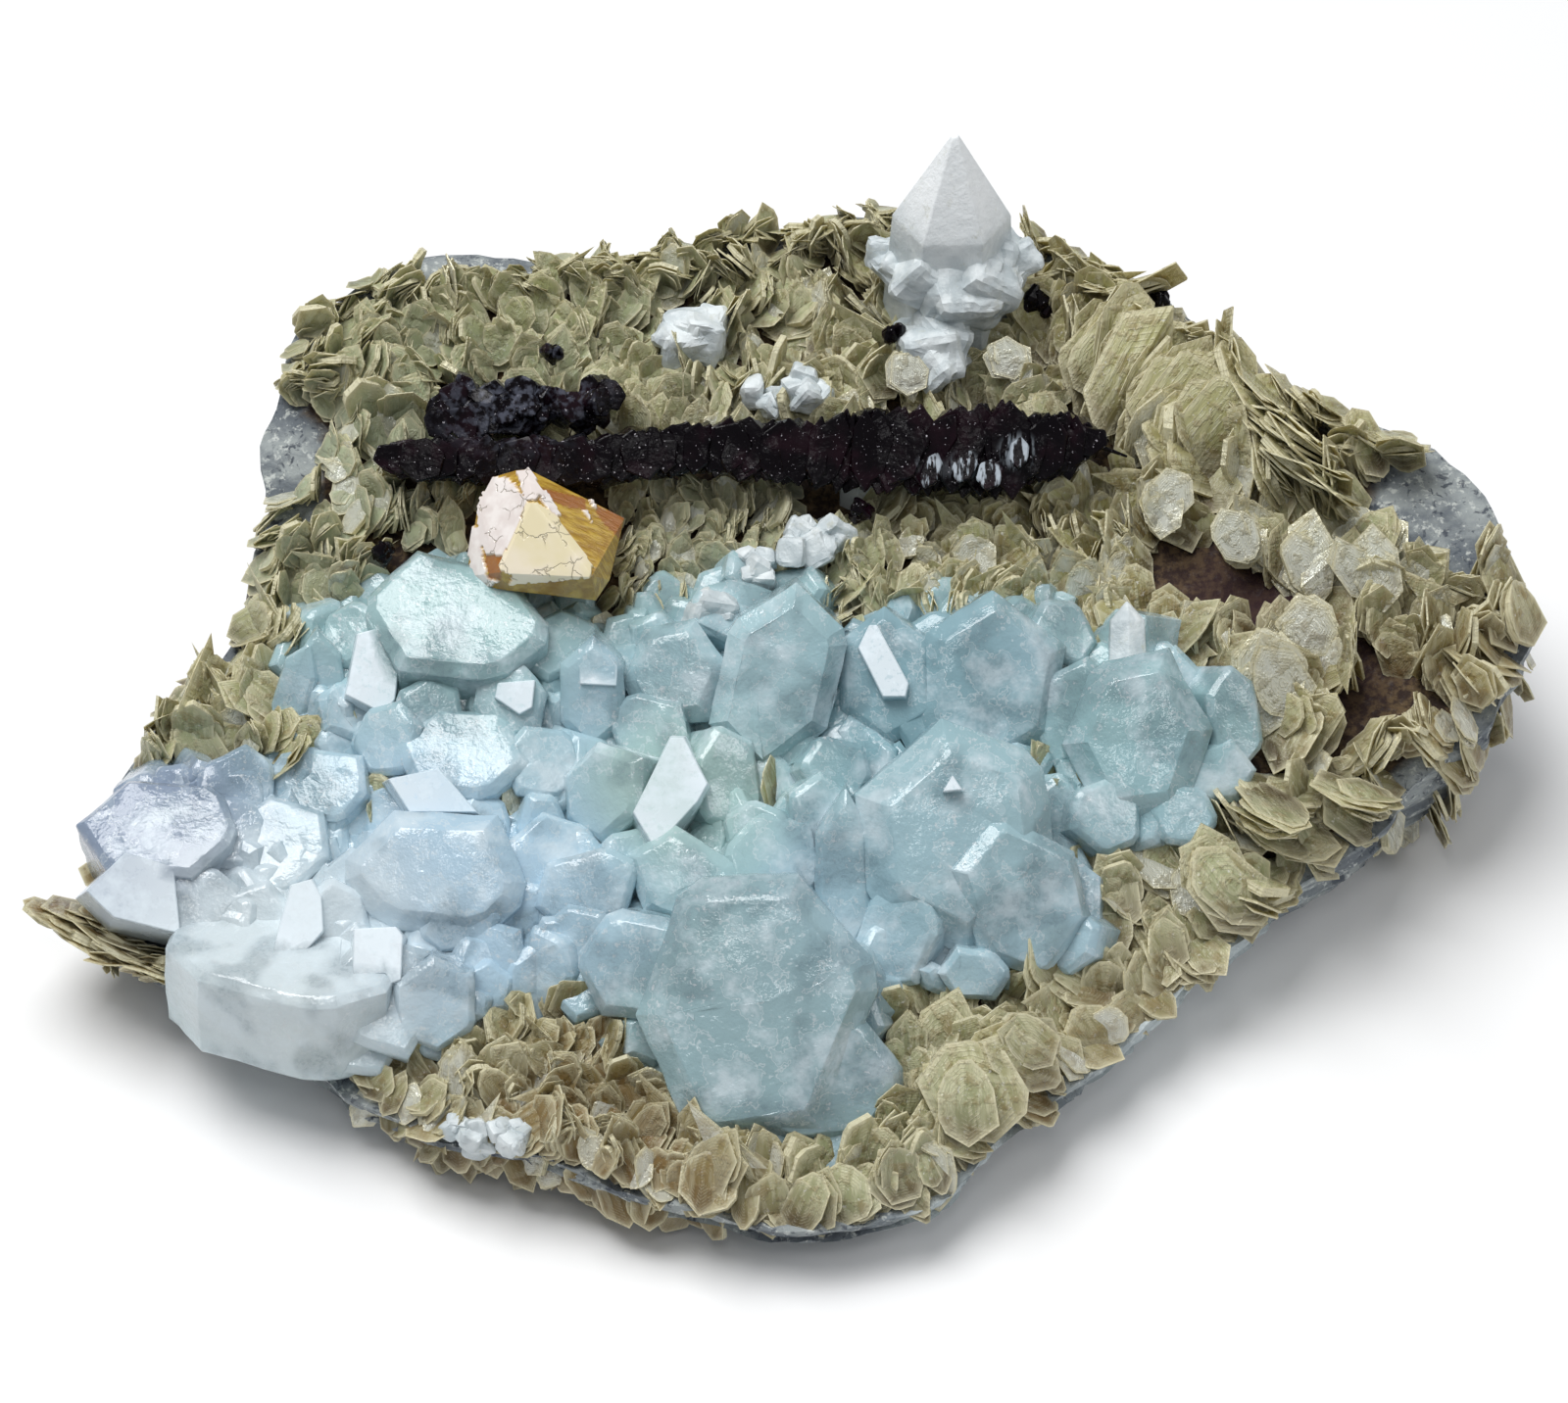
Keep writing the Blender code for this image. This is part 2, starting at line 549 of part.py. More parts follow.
class Specimen:
    """The pieces made so far, and the space that they take from later ones."""

    def __init__(self):
        self.parts = new_collection("beryl_specimen")
        self.cutters = new_collection("cutters")
        self.materials = {name: principled(name, *look) for name, look in FINISHES.items()}
        self.taken = []

    def scratch(self, bm, name):
        """Keep a helper mesh among the cutters."""
        obj = object_from(bm, name, self.cutters)
        obj.hide_render = True
        obj.display_type = "WIRE"
        return obj

    def rock(self):
        """The slab that everything grows on."""
        obj = object_from(slab(0.0, 0.0, 0.0), "matrix_rock", self.parts)
        obj.data.materials.append(self.materials["schist"])
        self.taken.append(self.scratch(slab(GAP, GAP, ROOM_FOOT), "rock_space"))

    def grow(self, name, bits, finish, ground=None, room=None):
        """Join bits, and the ground they stand on, in one solid clear of its neighbours.

        Later pieces keep clear of room, or of the bits themselves where none is given.
        """
        solids = [self.scratch(bit_mesh(bit), name + "_bit") for bit in bits]
        first = ground or solids.pop(0)
        boolean(first, "UNION", solids)
        boolean(first, "DIFFERENCE", [space for space in self.taken if meet(first, space)])
        keep_largest_body(first)
        piece = bpy.data.objects.new(name, first.data)
        piece.data.name = name
        piece.data.materials.clear()
        piece.data.materials.append(self.materials[finish])
        self.parts.objects.link(piece)
        self.taken += [self.scratch(bit_mesh(bit, GAP), name + "_space") for bit in room or bits]
        print(name, len(piece.data.polygons), "triangles")

    def crust(self, name, crust, seed):
        """Mica books fused with the layer that they grow from."""
        layer = self.scratch(slab(OVERHANG, LAYER_DEPTH, CRUST_FOOT), name + "_layer")
        boolean(layer, "INTERSECT", [self.scratch(prism(crust.outline, -GAP), name + "_area")])
        books = EDGE_BOOKS.get(name, []) + list(books_on(crust, random.Random(seed)))
        self.grow(name, books, "muscovite", ground=layer)
        space = self.scratch(slab(OVERHANG + GAP, LAYER_DEPTH + GAP, CRUST_FOOT - GAP),
                             name + "_layer_space")
        area = self.scratch(prism(crust.outline, 0.0), name + "_area_space")
        boolean(space, "INTERSECT", [area])
        self.taken.append(space)

    def finish(self):
        """Drop the helpers and stand the specimen with its base's middle at the origin."""
        for obj in list(self.cutters.objects):
            bpy.data.objects.remove(obj, do_unlink=True)
        boxes = [corners_of(obj) for obj in self.parts.objects]
        low = [min(box[0][axis] for box in boxes) for axis in range(3)]
        high = [max(box[1][axis] for box in boxes) for axis in range(3)]
        middle = bpy.data.objects.new("specimen_origin", None)
        bpy.context.scene.collection.objects.link(middle)
        middle.location = (-(low[0] + high[0]) / 2, -(low[1] + high[1]) / 2, -low[2])
        for obj in self.parts.objects:
            obj.parent = middle
        count = sum(len(obj.data.polygons) for obj in self.parts.objects)
        print("moved by", [round(value / MM, 3) for value in middle.location])
        print("size", [round((high[axis] - low[axis]) / MM, 1) for axis in range(3)])
        print("nodes", len(self.parts.objects), "faces", count)


def inside(point, outline):
    """Say whether a point lies in an outline."""
    x, y = point
    hits = 0
    for (ax, ay), (bx, by) in zip(outline, outline[1:] + outline[:1]):
        if (ay > y) != (by > y) and x < (bx - ax) * (y - ay) / (by - ay) + ax:
            hits += 1
    return hits % 2 == 1


def books_on(crust, chance):
    """Scatter a crust's books over its outline, standing on the rock or hanging at its rim."""
    xs = [point[0] for point in crust.outline]
    ys = [point[1] for point in crust.outline]
    placed = []
    for _ in range(crust.books * TRIES):
        if len(placed) == crust.books:
            return
        x = chance.uniform(min(xs), max(xs))
        y = chance.uniform(min(ys), max(ys))
        angle = math.atan2(y - MIDDLE_Y, x)
        radius, edge = rim_at(angle)
        share = math.hypot(x, y - MIDDLE_Y) / radius
        room = sum(crust.sizes) / 2
        crowded = any(math.dist((x, y), old) < room for old in placed)
        if not inside((x, y), crust.outline) or crowded or share > LAST_SHARE:
            continue
        placed.append((x, y))
        size = chance.uniform(*crust.sizes)
        azimuth = crust.azimuth[0] + chance.uniform(-1, 1) * crust.azimuth[1]
        lean = crust.lean[0] + chance.uniform(-1, 1) * crust.lean[1]
        height = top_at(x, y, CRUST_DEPTH)
        if share > WALL_SHARE:
            height = chance.uniform(CRUST_FOOT + size * WALL_RISE, max(edge, size + CRUST_FOOT))
            azimuth = math.degrees(angle) + chance.uniform(-1, 1) * WALL_FAN
            lean = chance.uniform(*WALL_LEAN)
        thickness = chance.uniform(*BOOK_THICKNESS)
        out = size * BOOK_STANDS_OUT * math.sin(math.radians(lean))
        yield plate((x, y, height + out), size, size * chance.uniform(*BOOK_WIDTHS), thickness,
                    lean=lean, azimuth=azimuth, phase=chance.uniform(0, 60),
                    roll=chance.uniform(0, 360))


def black_blades():
    """The parallel blades of the long black crystal."""
    chance = random.Random(BLADE_SEED)
    for first, last, count, half_x, half_y, depth in BLACK_ROWS:
        for index in range(count):
            at = Vector(first).lerp(Vector(last), index / (count - 1))
            at.z += chance.uniform(-1, 1) * BLADE_RISE
            yield plate(at, half_x * chance.uniform(*BLADE_WIDTHS), half_y, depth,
                        lean=BLACK_LEAN + chance.uniform(-1, 1) * BLADE_LEANS,
                        azimuth=-90 + chance.uniform(-1, 1) * BLADE_FAN, phase=0,
                        roll=chance.uniform(*BLADE_ROLLS))


def main():
    """Build the specimen, hardest crystals first, so that softer ones give way."""
    clear_scene()
    specimen = Specimen()
    specimen.rock()
    for name, bits in BERYL_GROUPS.items():
        specimen.grow(name, bits, "beryl")
    specimen.grow("scheelite_crystal", SCHEELITE, "scheelite")
    specimen.grow("black_ridge", list(black_blades()), "black crystal", room=BLACK_ROOM)
    specimen.grow("quartz_point", QUARTZ, "quartz")
    for name, bits in SMALL_BLACK_CRYSTALS.items():
        specimen.grow(name, bits, "black crystal")
    for name, bits in ALBITE_LUMPS.items():
        specimen.grow(name, bits, "quartz")
    for seed, (name, crust) in enumerate(CRUSTS.items()):
        specimen.crust(name, crust, seed)
    specimen.finish()


main()
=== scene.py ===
# %% [markdown]
# # A beryl specimen, dressed for the camera
# The real thing is a hand-sized slab of grey schist. Thin khaki mica plates grow all over its
# upper side, and a belt of pale blue beryl tablets crosses it, with one orange scheelite, one
# long black crystal and a white quartz point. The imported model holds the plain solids. This
# script puts the fine forms and the finishes on them.
#
# Lengths are in millimetres until a piece is finished, because a crystal's sizes are easier to
# read that way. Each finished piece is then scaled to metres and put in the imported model's place.

import math
import random
from collections import namedtuple

import bmesh
import bpy
from mathutils import Matrix, Vector, noise


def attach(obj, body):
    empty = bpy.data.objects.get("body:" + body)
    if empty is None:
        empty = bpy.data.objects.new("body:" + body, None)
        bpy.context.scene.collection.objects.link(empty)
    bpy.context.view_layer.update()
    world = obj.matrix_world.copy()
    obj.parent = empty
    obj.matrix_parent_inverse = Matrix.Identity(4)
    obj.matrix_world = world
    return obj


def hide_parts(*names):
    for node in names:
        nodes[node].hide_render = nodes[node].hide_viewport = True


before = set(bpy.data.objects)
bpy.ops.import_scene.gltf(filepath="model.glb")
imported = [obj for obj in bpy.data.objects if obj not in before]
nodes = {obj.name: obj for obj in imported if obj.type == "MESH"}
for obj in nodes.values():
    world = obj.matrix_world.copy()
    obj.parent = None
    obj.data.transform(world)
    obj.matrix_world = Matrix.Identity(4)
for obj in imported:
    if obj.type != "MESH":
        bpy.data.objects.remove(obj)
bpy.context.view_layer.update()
print("nodes", len(nodes))

# %% [markdown]
# ## Where things are
# The part was modelled round a middle of its own, and then moved so that its base's middle is
# the origin. The same move puts the pieces made here on the solids. The camera looks at the
# specimen's sloping upper side from 48 degrees above the horizon, with a long lens, as in the
# photograph, so it stands here first: several pieces are placed by what it sees.

# %% Sizes, camera and lines of sight
MM = 0.001
MOVED = Vector((-0.075, -9.891, 0.0))
LIFT = math.radians(48)
TOWARDS = Vector((0, -math.cos(LIFT), math.sin(LIFT)))
RIGHT = Vector((1, 0, 0))
UPWARD = Vector((0, math.sin(LIFT), math.cos(LIFT)))
TARGET = Vector((0, 2, 33))
DISTANCE = 484.3
EYE = TARGET + DISTANCE * TOWARDS
LENS = 85
SENSOR = 36
IMAGE = (1600, 1432)
FOCAL = IMAGE[0] * LENS / SENSOR


def in_metres(point):
    """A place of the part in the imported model's metres."""
    return (Vector(point) + MOVED) * MM


camera = bpy.data.objects.new("camera", bpy.data.cameras.new("camera"))
camera.data.lens = LENS
camera.data.sensor_width = SENSOR
camera.data.clip_start = 0.01
turn = Matrix((RIGHT, UPWARD, TOWARDS)).transposed().to_4x4()
camera.matrix_world = Matrix.Translation(in_metres(EYE)) @ turn
bpy.context.scene.collection.objects.link(camera)
bpy.context.scene.camera = camera
print("camera at", [round(value, 4) for value in camera.location])

# %% [markdown]
# ## The rock's form in numbers
# The slab's upper side is a plane that rises to the back and bends down to a rim. Mica and
# rubble have to stand on it, so its rim and its height are given here as the part gives them.

# %% Height of the rock at a place
MIDDLE_Y = 5.0
MIDDLE_HEIGHT = 28.0
SLOPE = 0.25
CRUST_DEPTH = 4.0
SHOULDER = 0.72
RIM = [
    (8, 102, 30), (20, 102, 34), (39, 86, 38), (60, 86, 42), (78, 82, 45), (92, 76, 45),
    (109, 76, 43), (127, 91, 42), (137, 92, 40), (148, 85, 36), (156, 78, 30), (168, 76, 25),
    (178, 85, 20), (188, 93, 16), (194, 94, 13), (204, 86, 12), (212, 77, 11), (221, 75, 10),
    (229, 72, 10), (244, 67, 11), (260, 68, 10), (272, 70, 9), (283, 69, 9), (300, 61, 10),
    (316, 61, 11), (328, 62, 12), (341, 68, 14), (354, 82, 19), (361, 95, 26),
]


def ease(value, start, end):
    """Rise smoothly from 0 at start to 1 at end."""
    step = min(max((value - start) / (end - start), 0.0), 1.0)
    return step * step * (3 - 2 * step)


def rim_at(angle):
    """Distance of the rim and height of its edge in one direction."""
    points = RIM + [(RIM[0][0] + 360, RIM[0][1], RIM[0][2])]
    degrees = math.degrees(angle) % 360
    if degrees < points[0][0]:
        degrees += 360
    for before, after in zip(points, points[1:]):
        if degrees <= after[0]:
            step = ease(degrees, before[0], after[0])
            return tuple(before[i] + (after[i] - before[i]) * step for i in (1, 2))
    return points[-1][1:]


def surface(x, y):
    """Height of the specimen's upper side, mica and all."""
    return MIDDLE_HEIGHT + SLOPE * (y - MIDDLE_Y)


def rim_share(x, y):
    """How far out a place is, from 0 in the middle to 1 at the rim."""
    return math.hypot(x, y - MIDDLE_Y) / rim_at(math.atan2(y - MIDDLE_Y, x))[0]


def rock_top(x, y):
    """Height of the rock under the mica."""
    edge = rim_at(math.atan2(y - MIDDLE_Y, x))[1]
    bend = ease(rim_share(x, y), SHOULDER, 1.0)
    return (surface(x, y) - CRUST_DEPTH) * (1 - bend) + edge * bend


def seen_at(px, py, rise=0.0):
    """The place on the upper side, raised by rise, that the camera sees at a pixel."""
    across = (px - IMAGE[0] / 2) / FOCAL
    up = (IMAGE[1] / 2 - py) / FOCAL
    sight = RIGHT * across + UPWARD * up - TOWARDS
    level = surface(0, 0) + rise
    reach = (level - EYE.z + SLOPE * EYE.y) / (sight.z - SLOPE * sight.y)
    return EYE + sight * reach


print("rock is", round(rock_top(0, 0), 1), "mm high in the middle")

# %% [markdown]
# ## Finishes as Python expressions
# A finish is a web of nodes, and long webs are hard to read. So one small class wraps a socket
# and lets it be added, multiplied or compared like a number, and another makes the nodes. What
# varies over a surface goes to colour, roughness and bump, or to the factor of a mix.

# %% A value that can be reckoned with
class Value:
    """One number that a material reckons with."""

    def __init__(self, finish, socket):
        self.finish = finish
        self.socket = socket

    def work(self, operation, one, two):
        made = self.finish.node("ShaderNodeMath", {"operation": operation}, {0: one, 1: two})
        return Value(self.finish, made.outputs[0])

    def __add__(self, other):
        return self.work("ADD", self, other)

    def __sub__(self, other):
        return self.work("SUBTRACT", self, other)

    def __rsub__(self, other):
        return self.work("SUBTRACT", other, self)

    def __mul__(self, other):
        return self.work("MULTIPLY", self, other)

    def __pow__(self, other):
        return self.work("POWER", self, other)

    __radd__ = __add__
    __rmul__ = __mul__

    def over(self, start, end):
        """Rise from 0 where this value is start to 1 where it is end."""
        made = self.finish.node("ShaderNodeMapRange", {"interpolation_type": "SMOOTHSTEP"},
                                {"Value": self, "From Min": start, "From Max": end})
        return Value(self.finish, made.outputs[0])


# %% A finish under construction
class Finish:
    """One material, and the nodes that it is made of."""

    def __init__(self, name):
        self.material = bpy.data.materials.new(name)
        self.material.use_nodes = True
        self.tree = self.material.node_tree
        self.tree.nodes.clear()
        self.output = self.node("ShaderNodeOutputMaterial")
        self.places = self.node("ShaderNodeTexCoord").outputs["Object"]

    def node(self, kind, settings=None, inputs=None):
        """Make any node: its settings first, then the values or links of its sockets."""
        made = self.tree.nodes.new(kind)
        for name, value in (settings or {}).items():
            setattr(made, name, value)
        for name, value in (inputs or {}).items():
            value = value.socket if isinstance(value, Value) else value
            if isinstance(value, bpy.types.NodeSocket):
                self.tree.links.new(value, made.inputs[name])
            else:
                made.inputs[name].default_value = value
        return made

    def stretched(self, scale, turn=(0, 0, 0), places=None):
        """The places, turned and scaled, for a pattern with a grain."""
        angles = [math.radians(angle) for angle in turn]
        return self.node("ShaderNodeMapping", {}, {
            "Vector": places or self.places, "Scale": scale, "Rotation": angles}).outputs[0]

    def clouds(self, size, detail=3.0, rough=0.5, warp=0.0, places=None):
        """Soft noise whose clouds are about size millimetres wide."""
        made = self.node("ShaderNodeTexNoise", {}, {
            "Vector": places or self.places, "Scale": 1 / (size * MM), "Detail": detail,
            "Roughness": rough, "Distortion": warp})
        return Value(self, made.outputs[0])

    def cells(self, size, feature="F1", places=None):
        """Cells about size millimetres wide: the distance to their middles or walls."""
        made = self.node("ShaderNodeTexVoronoi", {"feature": feature},
                         {"Vector": places or self.places, "Scale": 1 / (size * MM)})
        return Value(self, made.outputs["Distance"])

    def near(self, point, radius):
        """1 at a place of the part, falling to 0 at radius millimetres from it."""
        far = self.node("ShaderNodeVectorMath", {"operation": "DISTANCE"},
                        {0: self.places, 1: in_metres(point)})
        return Value(self, far.outputs["Value"]).over(radius * MM, radius * MM * 0.3)

    def painted(self, name):
        """A value that the piece's mesh carries."""
        return Value(self, self.node("ShaderNodeAttribute", {"attribute_name": name}).outputs[2])

    def carried(self, name):
        """A place that the piece's mesh carries, in metres."""
        return self.node("ShaderNodeAttribute", {"attribute_name": name}).outputs["Vector"]

    def mixed(self, share, first, second):
        """The first colour where share is 0 and the second where it is 1."""
        colours = [(*c, 1) if isinstance(c, tuple) else c for c in (first, second)]
        made = self.node("ShaderNodeMix", {"data_type": "RGBA"},
                         {0: share, 6: colours[0], 7: colours[1]})
        return made.outputs[2]

    def bump(self, height, depth, normal=None):
        """Relief: a height from 0 to 1 stands for depth millimetres."""
        inputs = {"Height": height, "Distance": depth * MM, "Strength": 1.0}
        if normal:
            inputs["Normal"] = normal
        return self.node("ShaderNodeBump", {}, inputs).outputs[0]

    def shader(self, **values):
        """The usual surface shader; an underscore in a name stands for a space."""
        inputs = {name.replace("_", " "): value for name, value in values.items()}
        return self.node("ShaderNodeBsdfPrincipled", {}, inputs).outputs[0]

    def shade(self, shader):
        """Put a shader on the surface."""
        self.tree.links.new(shader, self.output.inputs["Surface"])
        return self.material


print("tools for finishes are ready")

# %% [markdown]
# ## Beryl
# The tablets are glassy outside and half milky inside: white veils hang in a clear, faintly blue
# body, with freckled darker patches where it is clearest. One shader alone looks either like
# soap or like window glass, so two are mixed: a clear one that bends light and a milky one.

# %% Beryl finish
BERYL_IOR = 1.575
BERYL_TINTS = [
    ((-45, -22, 27), 30, (0.56, 0.76, 0.92)), ((-43, 13, 37), 24, (0.40, 0.60, 0.60)),
    ((-84, -15, 26), 26, (0.28, 0.33, 0.46)), ((-64, -34, 22), 28, (0.84, 0.92, 0.95)),
    ((18, 4, 33), 24, (0.28, 0.47, 0.53)), ((47, -4, 32), 20, (0.36, 0.57, 0.60)),
    ((-14, -9, 31), 16, (0.48, 0.66, 0.62)), ((24, -20, 31), 24, (0.42, 0.62, 0.68)),
    ((-4, 8, 35), 16, (0.52, 0.74, 0.80)), ((-2, -44, 24), 24, (0.36, 0.52, 0.56)),
]


def beryl_finish():
    finish = Finish("beryl")
    flat = finish.painted("flat")
    worn = 1 - flat
    tint = finish.clouds(30, detail=1).over(0.40, 0.62)
    colour = finish.mixed(tint, (0.45, 0.66, 0.69), (0.48, 0.68, 0.78))
    for place, radius, shade in BERYL_TINTS:
        colour = finish.mixed(finish.near(place, radius) * 0.85, colour, shade)
    veils = finish.clouds(6, detail=4, rough=0.62)
    colour = finish.mixed(veils.over(0.46, 0.68) * 0.7, colour, (0.60, 0.68, 0.72))
    grain = finish.clouds(1.0, detail=4, rough=0.7)
    clearest = finish.clouds(10, detail=2).over(0.48, 0.62) * worn
    colour = finish.mixed(clearest * 0.14, colour, (0.22, 0.35, 0.42))
    freckles = clearest * grain.over(0.48, 0.62)
    colour = finish.mixed(freckles * 0.25, colour, (0.13, 0.22, 0.28))
    # White flecks: partly white specks in the crystal, partly painted glints.
    specks_and_glints = grain.over(0.58, 0.66) * finish.clouds(11, detail=2).over(0.46, 0.58) * worn
    colour = finish.mixed(specks_and_glints * 0.7, colour, (0.80, 0.86, 0.89))
    wisps = veils.over(0.487, 0.500) * (1 - veils.over(0.500, 0.513)) * worn
    colour = finish.mixed(wisps * 0.45, colour, (0.84, 0.92, 0.95))
    # Painted reflection: the flat shining faces are painted pale blue-white for the light near the camera
    # that they mirror.
    painted_reflection = flat * (0.55 + 0.45 * finish.clouds(16, detail=1).over(0.40, 0.60))
    colour = finish.mixed(painted_reflection * (0.9 - 0.35 * grain.over(0.56, 0.64)), colour,
                          (0.80, 0.88, 0.93))
    relief = finish.bump(finish.clouds(1.6, detail=3, rough=0.65) * (1.12 - flat), 0.16)
    rough = 0.10 + 0.16 * veils.over(0.45, 0.75) + 0.16 * flat
    milky = finish.shader(Base_Color=colour, Roughness=rough, IOR=BERYL_IOR, Normal=relief)
    clear = finish.shader(Base_Color=(0.88, 0.94, 0.97, 1), Roughness=0.10, IOR=BERYL_IOR,
                          Transmission_Weight=1.0, Normal=relief)
    share = 0.74 - 0.16 * clearest + 0.2 * veils.over(0.46, 0.68) + 0.12 * flat
    both = finish.node("ShaderNodeMixShader", {}, {0: share, 1: clear, 2: milky})
    inside = finish.node("ShaderNodeVolumeAbsorption", {},
                         {"Color": (0.62, 0.80, 0.88, 1), "Density": 30.0})
    finish.tree.links.new(inside.outputs[0], finish.output.inputs["Volume"])
    return finish.shade(both.outputs[0])


beryl = beryl_finish()
print("finish", beryl.name)

# %% [markdown]
# ## Muscovite
# A mica book is a stack of clear sheets. One sheet is nearly colourless and a book is khaki. Its
# foot, deep between its neighbours, is painted dark brown as painted shade. Its edges are pale,
# partly because every sheet's broken edge scatters light and partly as a painted highlight. Each
# book's mesh carries how near the rim and how high up a point is, how pale the book is and
# whether it is one of those that mirror the light; these get a painted sheen of near white.

# %% Muscovite finish
PAGE = 0.00042
# Regional tints of the mica; the first, at the right, is painted shade: a dark recess painted near
# black-brown.
MICA_TINTS_AND_PAINTED_SHADE = [
    ((66, 20, 24), 20, 0.6, (0.16, 0.07, 0.03)), ((-25, -60, 12), 34, 0.6, (0.27, 0.17, 0.07)),
    ((50, -42, 14), 28, 0.45, (0.30, 0.20, 0.08)), ((88, 8, 24), 22, 0.35, (0.42, 0.27, 0.12)),
    ((-62, 40, 36), 36, 0.45, (0.52, 0.64, 0.50)), ((-40, 74, 46), 40, 0.35, (0.40, 0.52, 0.32)),
    ((-6, 34, 38), 26, 0.4, (0.52, 0.62, 0.50)),
]


def mica_finish():
    finish = Finish("muscovite")
    rim = finish.painted("rim")
    silver = finish.painted("silver")
    tone = finish.painted("tone")
    leaf = finish.carried("leaf")
    colour = finish.mixed(tone, (0.24, 0.15, 0.055), (0.57, 0.57, 0.27))
    green = finish.clouds(34, detail=1).over(0.42, 0.60)
    colour = finish.mixed(green * 0.5, colour, (0.50, 0.60, 0.40))
    streaks = finish.clouds(3.2, detail=3, rough=0.65,
                            places=finish.stretched((4, 0.7, 1), places=leaf))
    colour = finish.mixed(streaks.over(0.44, 0.62) * 0.65, colour, (0.88, 0.88, 0.60))
    clouded = finish.clouds(2.0, detail=3, rough=0.65, places=leaf).over(0.46, 0.64)
    colour = finish.mixed(clouded * 0.55, colour, (0.32, 0.22, 0.09))
    glints = finish.clouds(0.8, detail=3, rough=0.7, places=leaf).over(0.62, 0.68)
    colour = finish.mixed(glints * 0.8, colour, (0.97, 0.97, 0.90))
    # Painted shade: a book's foot, low between its neighbours, is painted dark brown.
    raised = finish.painted("raised").over(0.05, 0.8)
    colour = finish.mixed(raised, (0.060, 0.032, 0.015), colour)
    for place, radius, share, shade in MICA_TINTS_AND_PAINTED_SHADE:
        colour = finish.mixed(finish.near(place, radius) * share, colour, shade)
    # Painted sheen: the books that mirror the light are painted near white; Metallic adds a little real
    # gloss.
    colour = finish.mixed(silver * (0.85 - 0.4 * clouded), colour, (0.92, 0.95, 0.88))
    lines = finish.node("ShaderNodeMath", {"operation": "SINE"}, {0: rim * 64.0}).outputs[0]
    lines = Value(finish, lines).over(0.4, 1.0) * streaks.over(0.42, 0.56)
    # Pale rims: the broken edges' own paleness, with a painted highlight on them.
    colour = finish.mixed(rim ** 8.0 * 0.9, colour, (0.92, 0.88, 0.64))
    colour = finish.mixed(lines * 0.35, colour, (0.90, 0.86, 0.60))
    depth = finish.node("ShaderNodeSeparateXYZ", {}, {0: leaf}).outputs["Z"]
    pages = finish.node("ShaderNodeMath", {"operation": "SINE"},
                        {0: Value(finish, depth) * (2 * math.pi / PAGE)}).outputs[0]
    pages = Value(finish, pages).over(-0.2, 0.8)
    colour = finish.mixed(pages * 0.22, colour, (0.90, 0.87, 0.62))
    relief = finish.bump((lines + pages) * 0.2 + streaks + clouded * 0.4, 0.30)
    rough = 0.22 + 0.22 * clouded - 0.08 * silver
    front = finish.shader(Base_Color=colour, Roughness=rough, IOR=1.48, Normal=relief,
                          Metallic=silver * 0.15)
    through = finish.node("ShaderNodeBsdfTranslucent", {}, {"Color": (0.84, 0.72, 0.36, 1)})
    both = finish.node("ShaderNodeMixShader", {}, {0: 0.28, 1: front, 2: through.outputs[0]})
    return finish.shade(both.outputs[0])


mica = mica_finish()
print("finish", mica.name)

# %% [markdown]
# ## Schist
# The host rock is a grain-by-grain mix of grey quartz, dark mica and white feldspar, layered one
# way. Noise of three sizes gives the salt-and-pepper look, and a stretched one the layers.
# Where mica grows on it, flakes and brown shade hide the grey, and along the front right a pale
# band of feldspar shows.

# %% Schist finish
def schist_finish():
    finish = Finish("schist")
    layers = finish.clouds(9, detail=5, rough=0.6, places=finish.stretched((1, 1, 4), (12, 0, 0)))
    colour = finish.mixed(layers.over(0.38, 0.62), (0.13, 0.15, 0.17), (0.33, 0.36, 0.36))
    salt = finish.clouds(1.3, detail=3, rough=0.7).over(0.54, 0.66)
    colour = finish.mixed(salt * 0.75, colour, (0.60, 0.63, 0.60))
    pepper = finish.clouds(1.7, detail=3, rough=0.7, warp=0.5).over(0.54, 0.66)
    colour = finish.mixed(pepper * 0.85, colour, (0.040, 0.050, 0.070))
    pale = finish.near((62, -38, 6), 34) + finish.near((30, -66, 5), 22)
    colour = finish.mixed(pale * 0.8, colour, (0.60, 0.68, 0.70))
    rust = finish.near((-70, 24, 22), 9) * finish.clouds(2.5, detail=3).over(0.42, 0.6)
    colour = finish.mixed(rust, colour, (0.42, 0.19, 0.03))
    flakes = finish.clouds(1.4, detail=4, rough=0.65)
    # The bed under the mica: brown mica flakes, painted dark as the shade that falls in the gaps between
    # the books.
    bed = finish.mixed(flakes.over(0.40, 0.64), (0.026, 0.013, 0.008), (0.13, 0.085, 0.040))
    # Painted shade: the recess at the right is painted near black.
    bed = finish.mixed(finish.near((66, 20, 22), 24) * 0.8, bed, (0.030, 0.008, 0.012))
    colour = finish.mixed(finish.painted("bed"), colour, bed)
    relief = finish.bump(finish.clouds(0.9, detail=5, rough=0.7), 0.25)
    relief = finish.bump(flakes, 0.3, relief)
    rough = 0.86 - 0.35 * salt
    return finish.shade(finish.shader(Base_Color=colour, Roughness=rough, Normal=relief))


schist = schist_finish()
print("finish", schist.name)
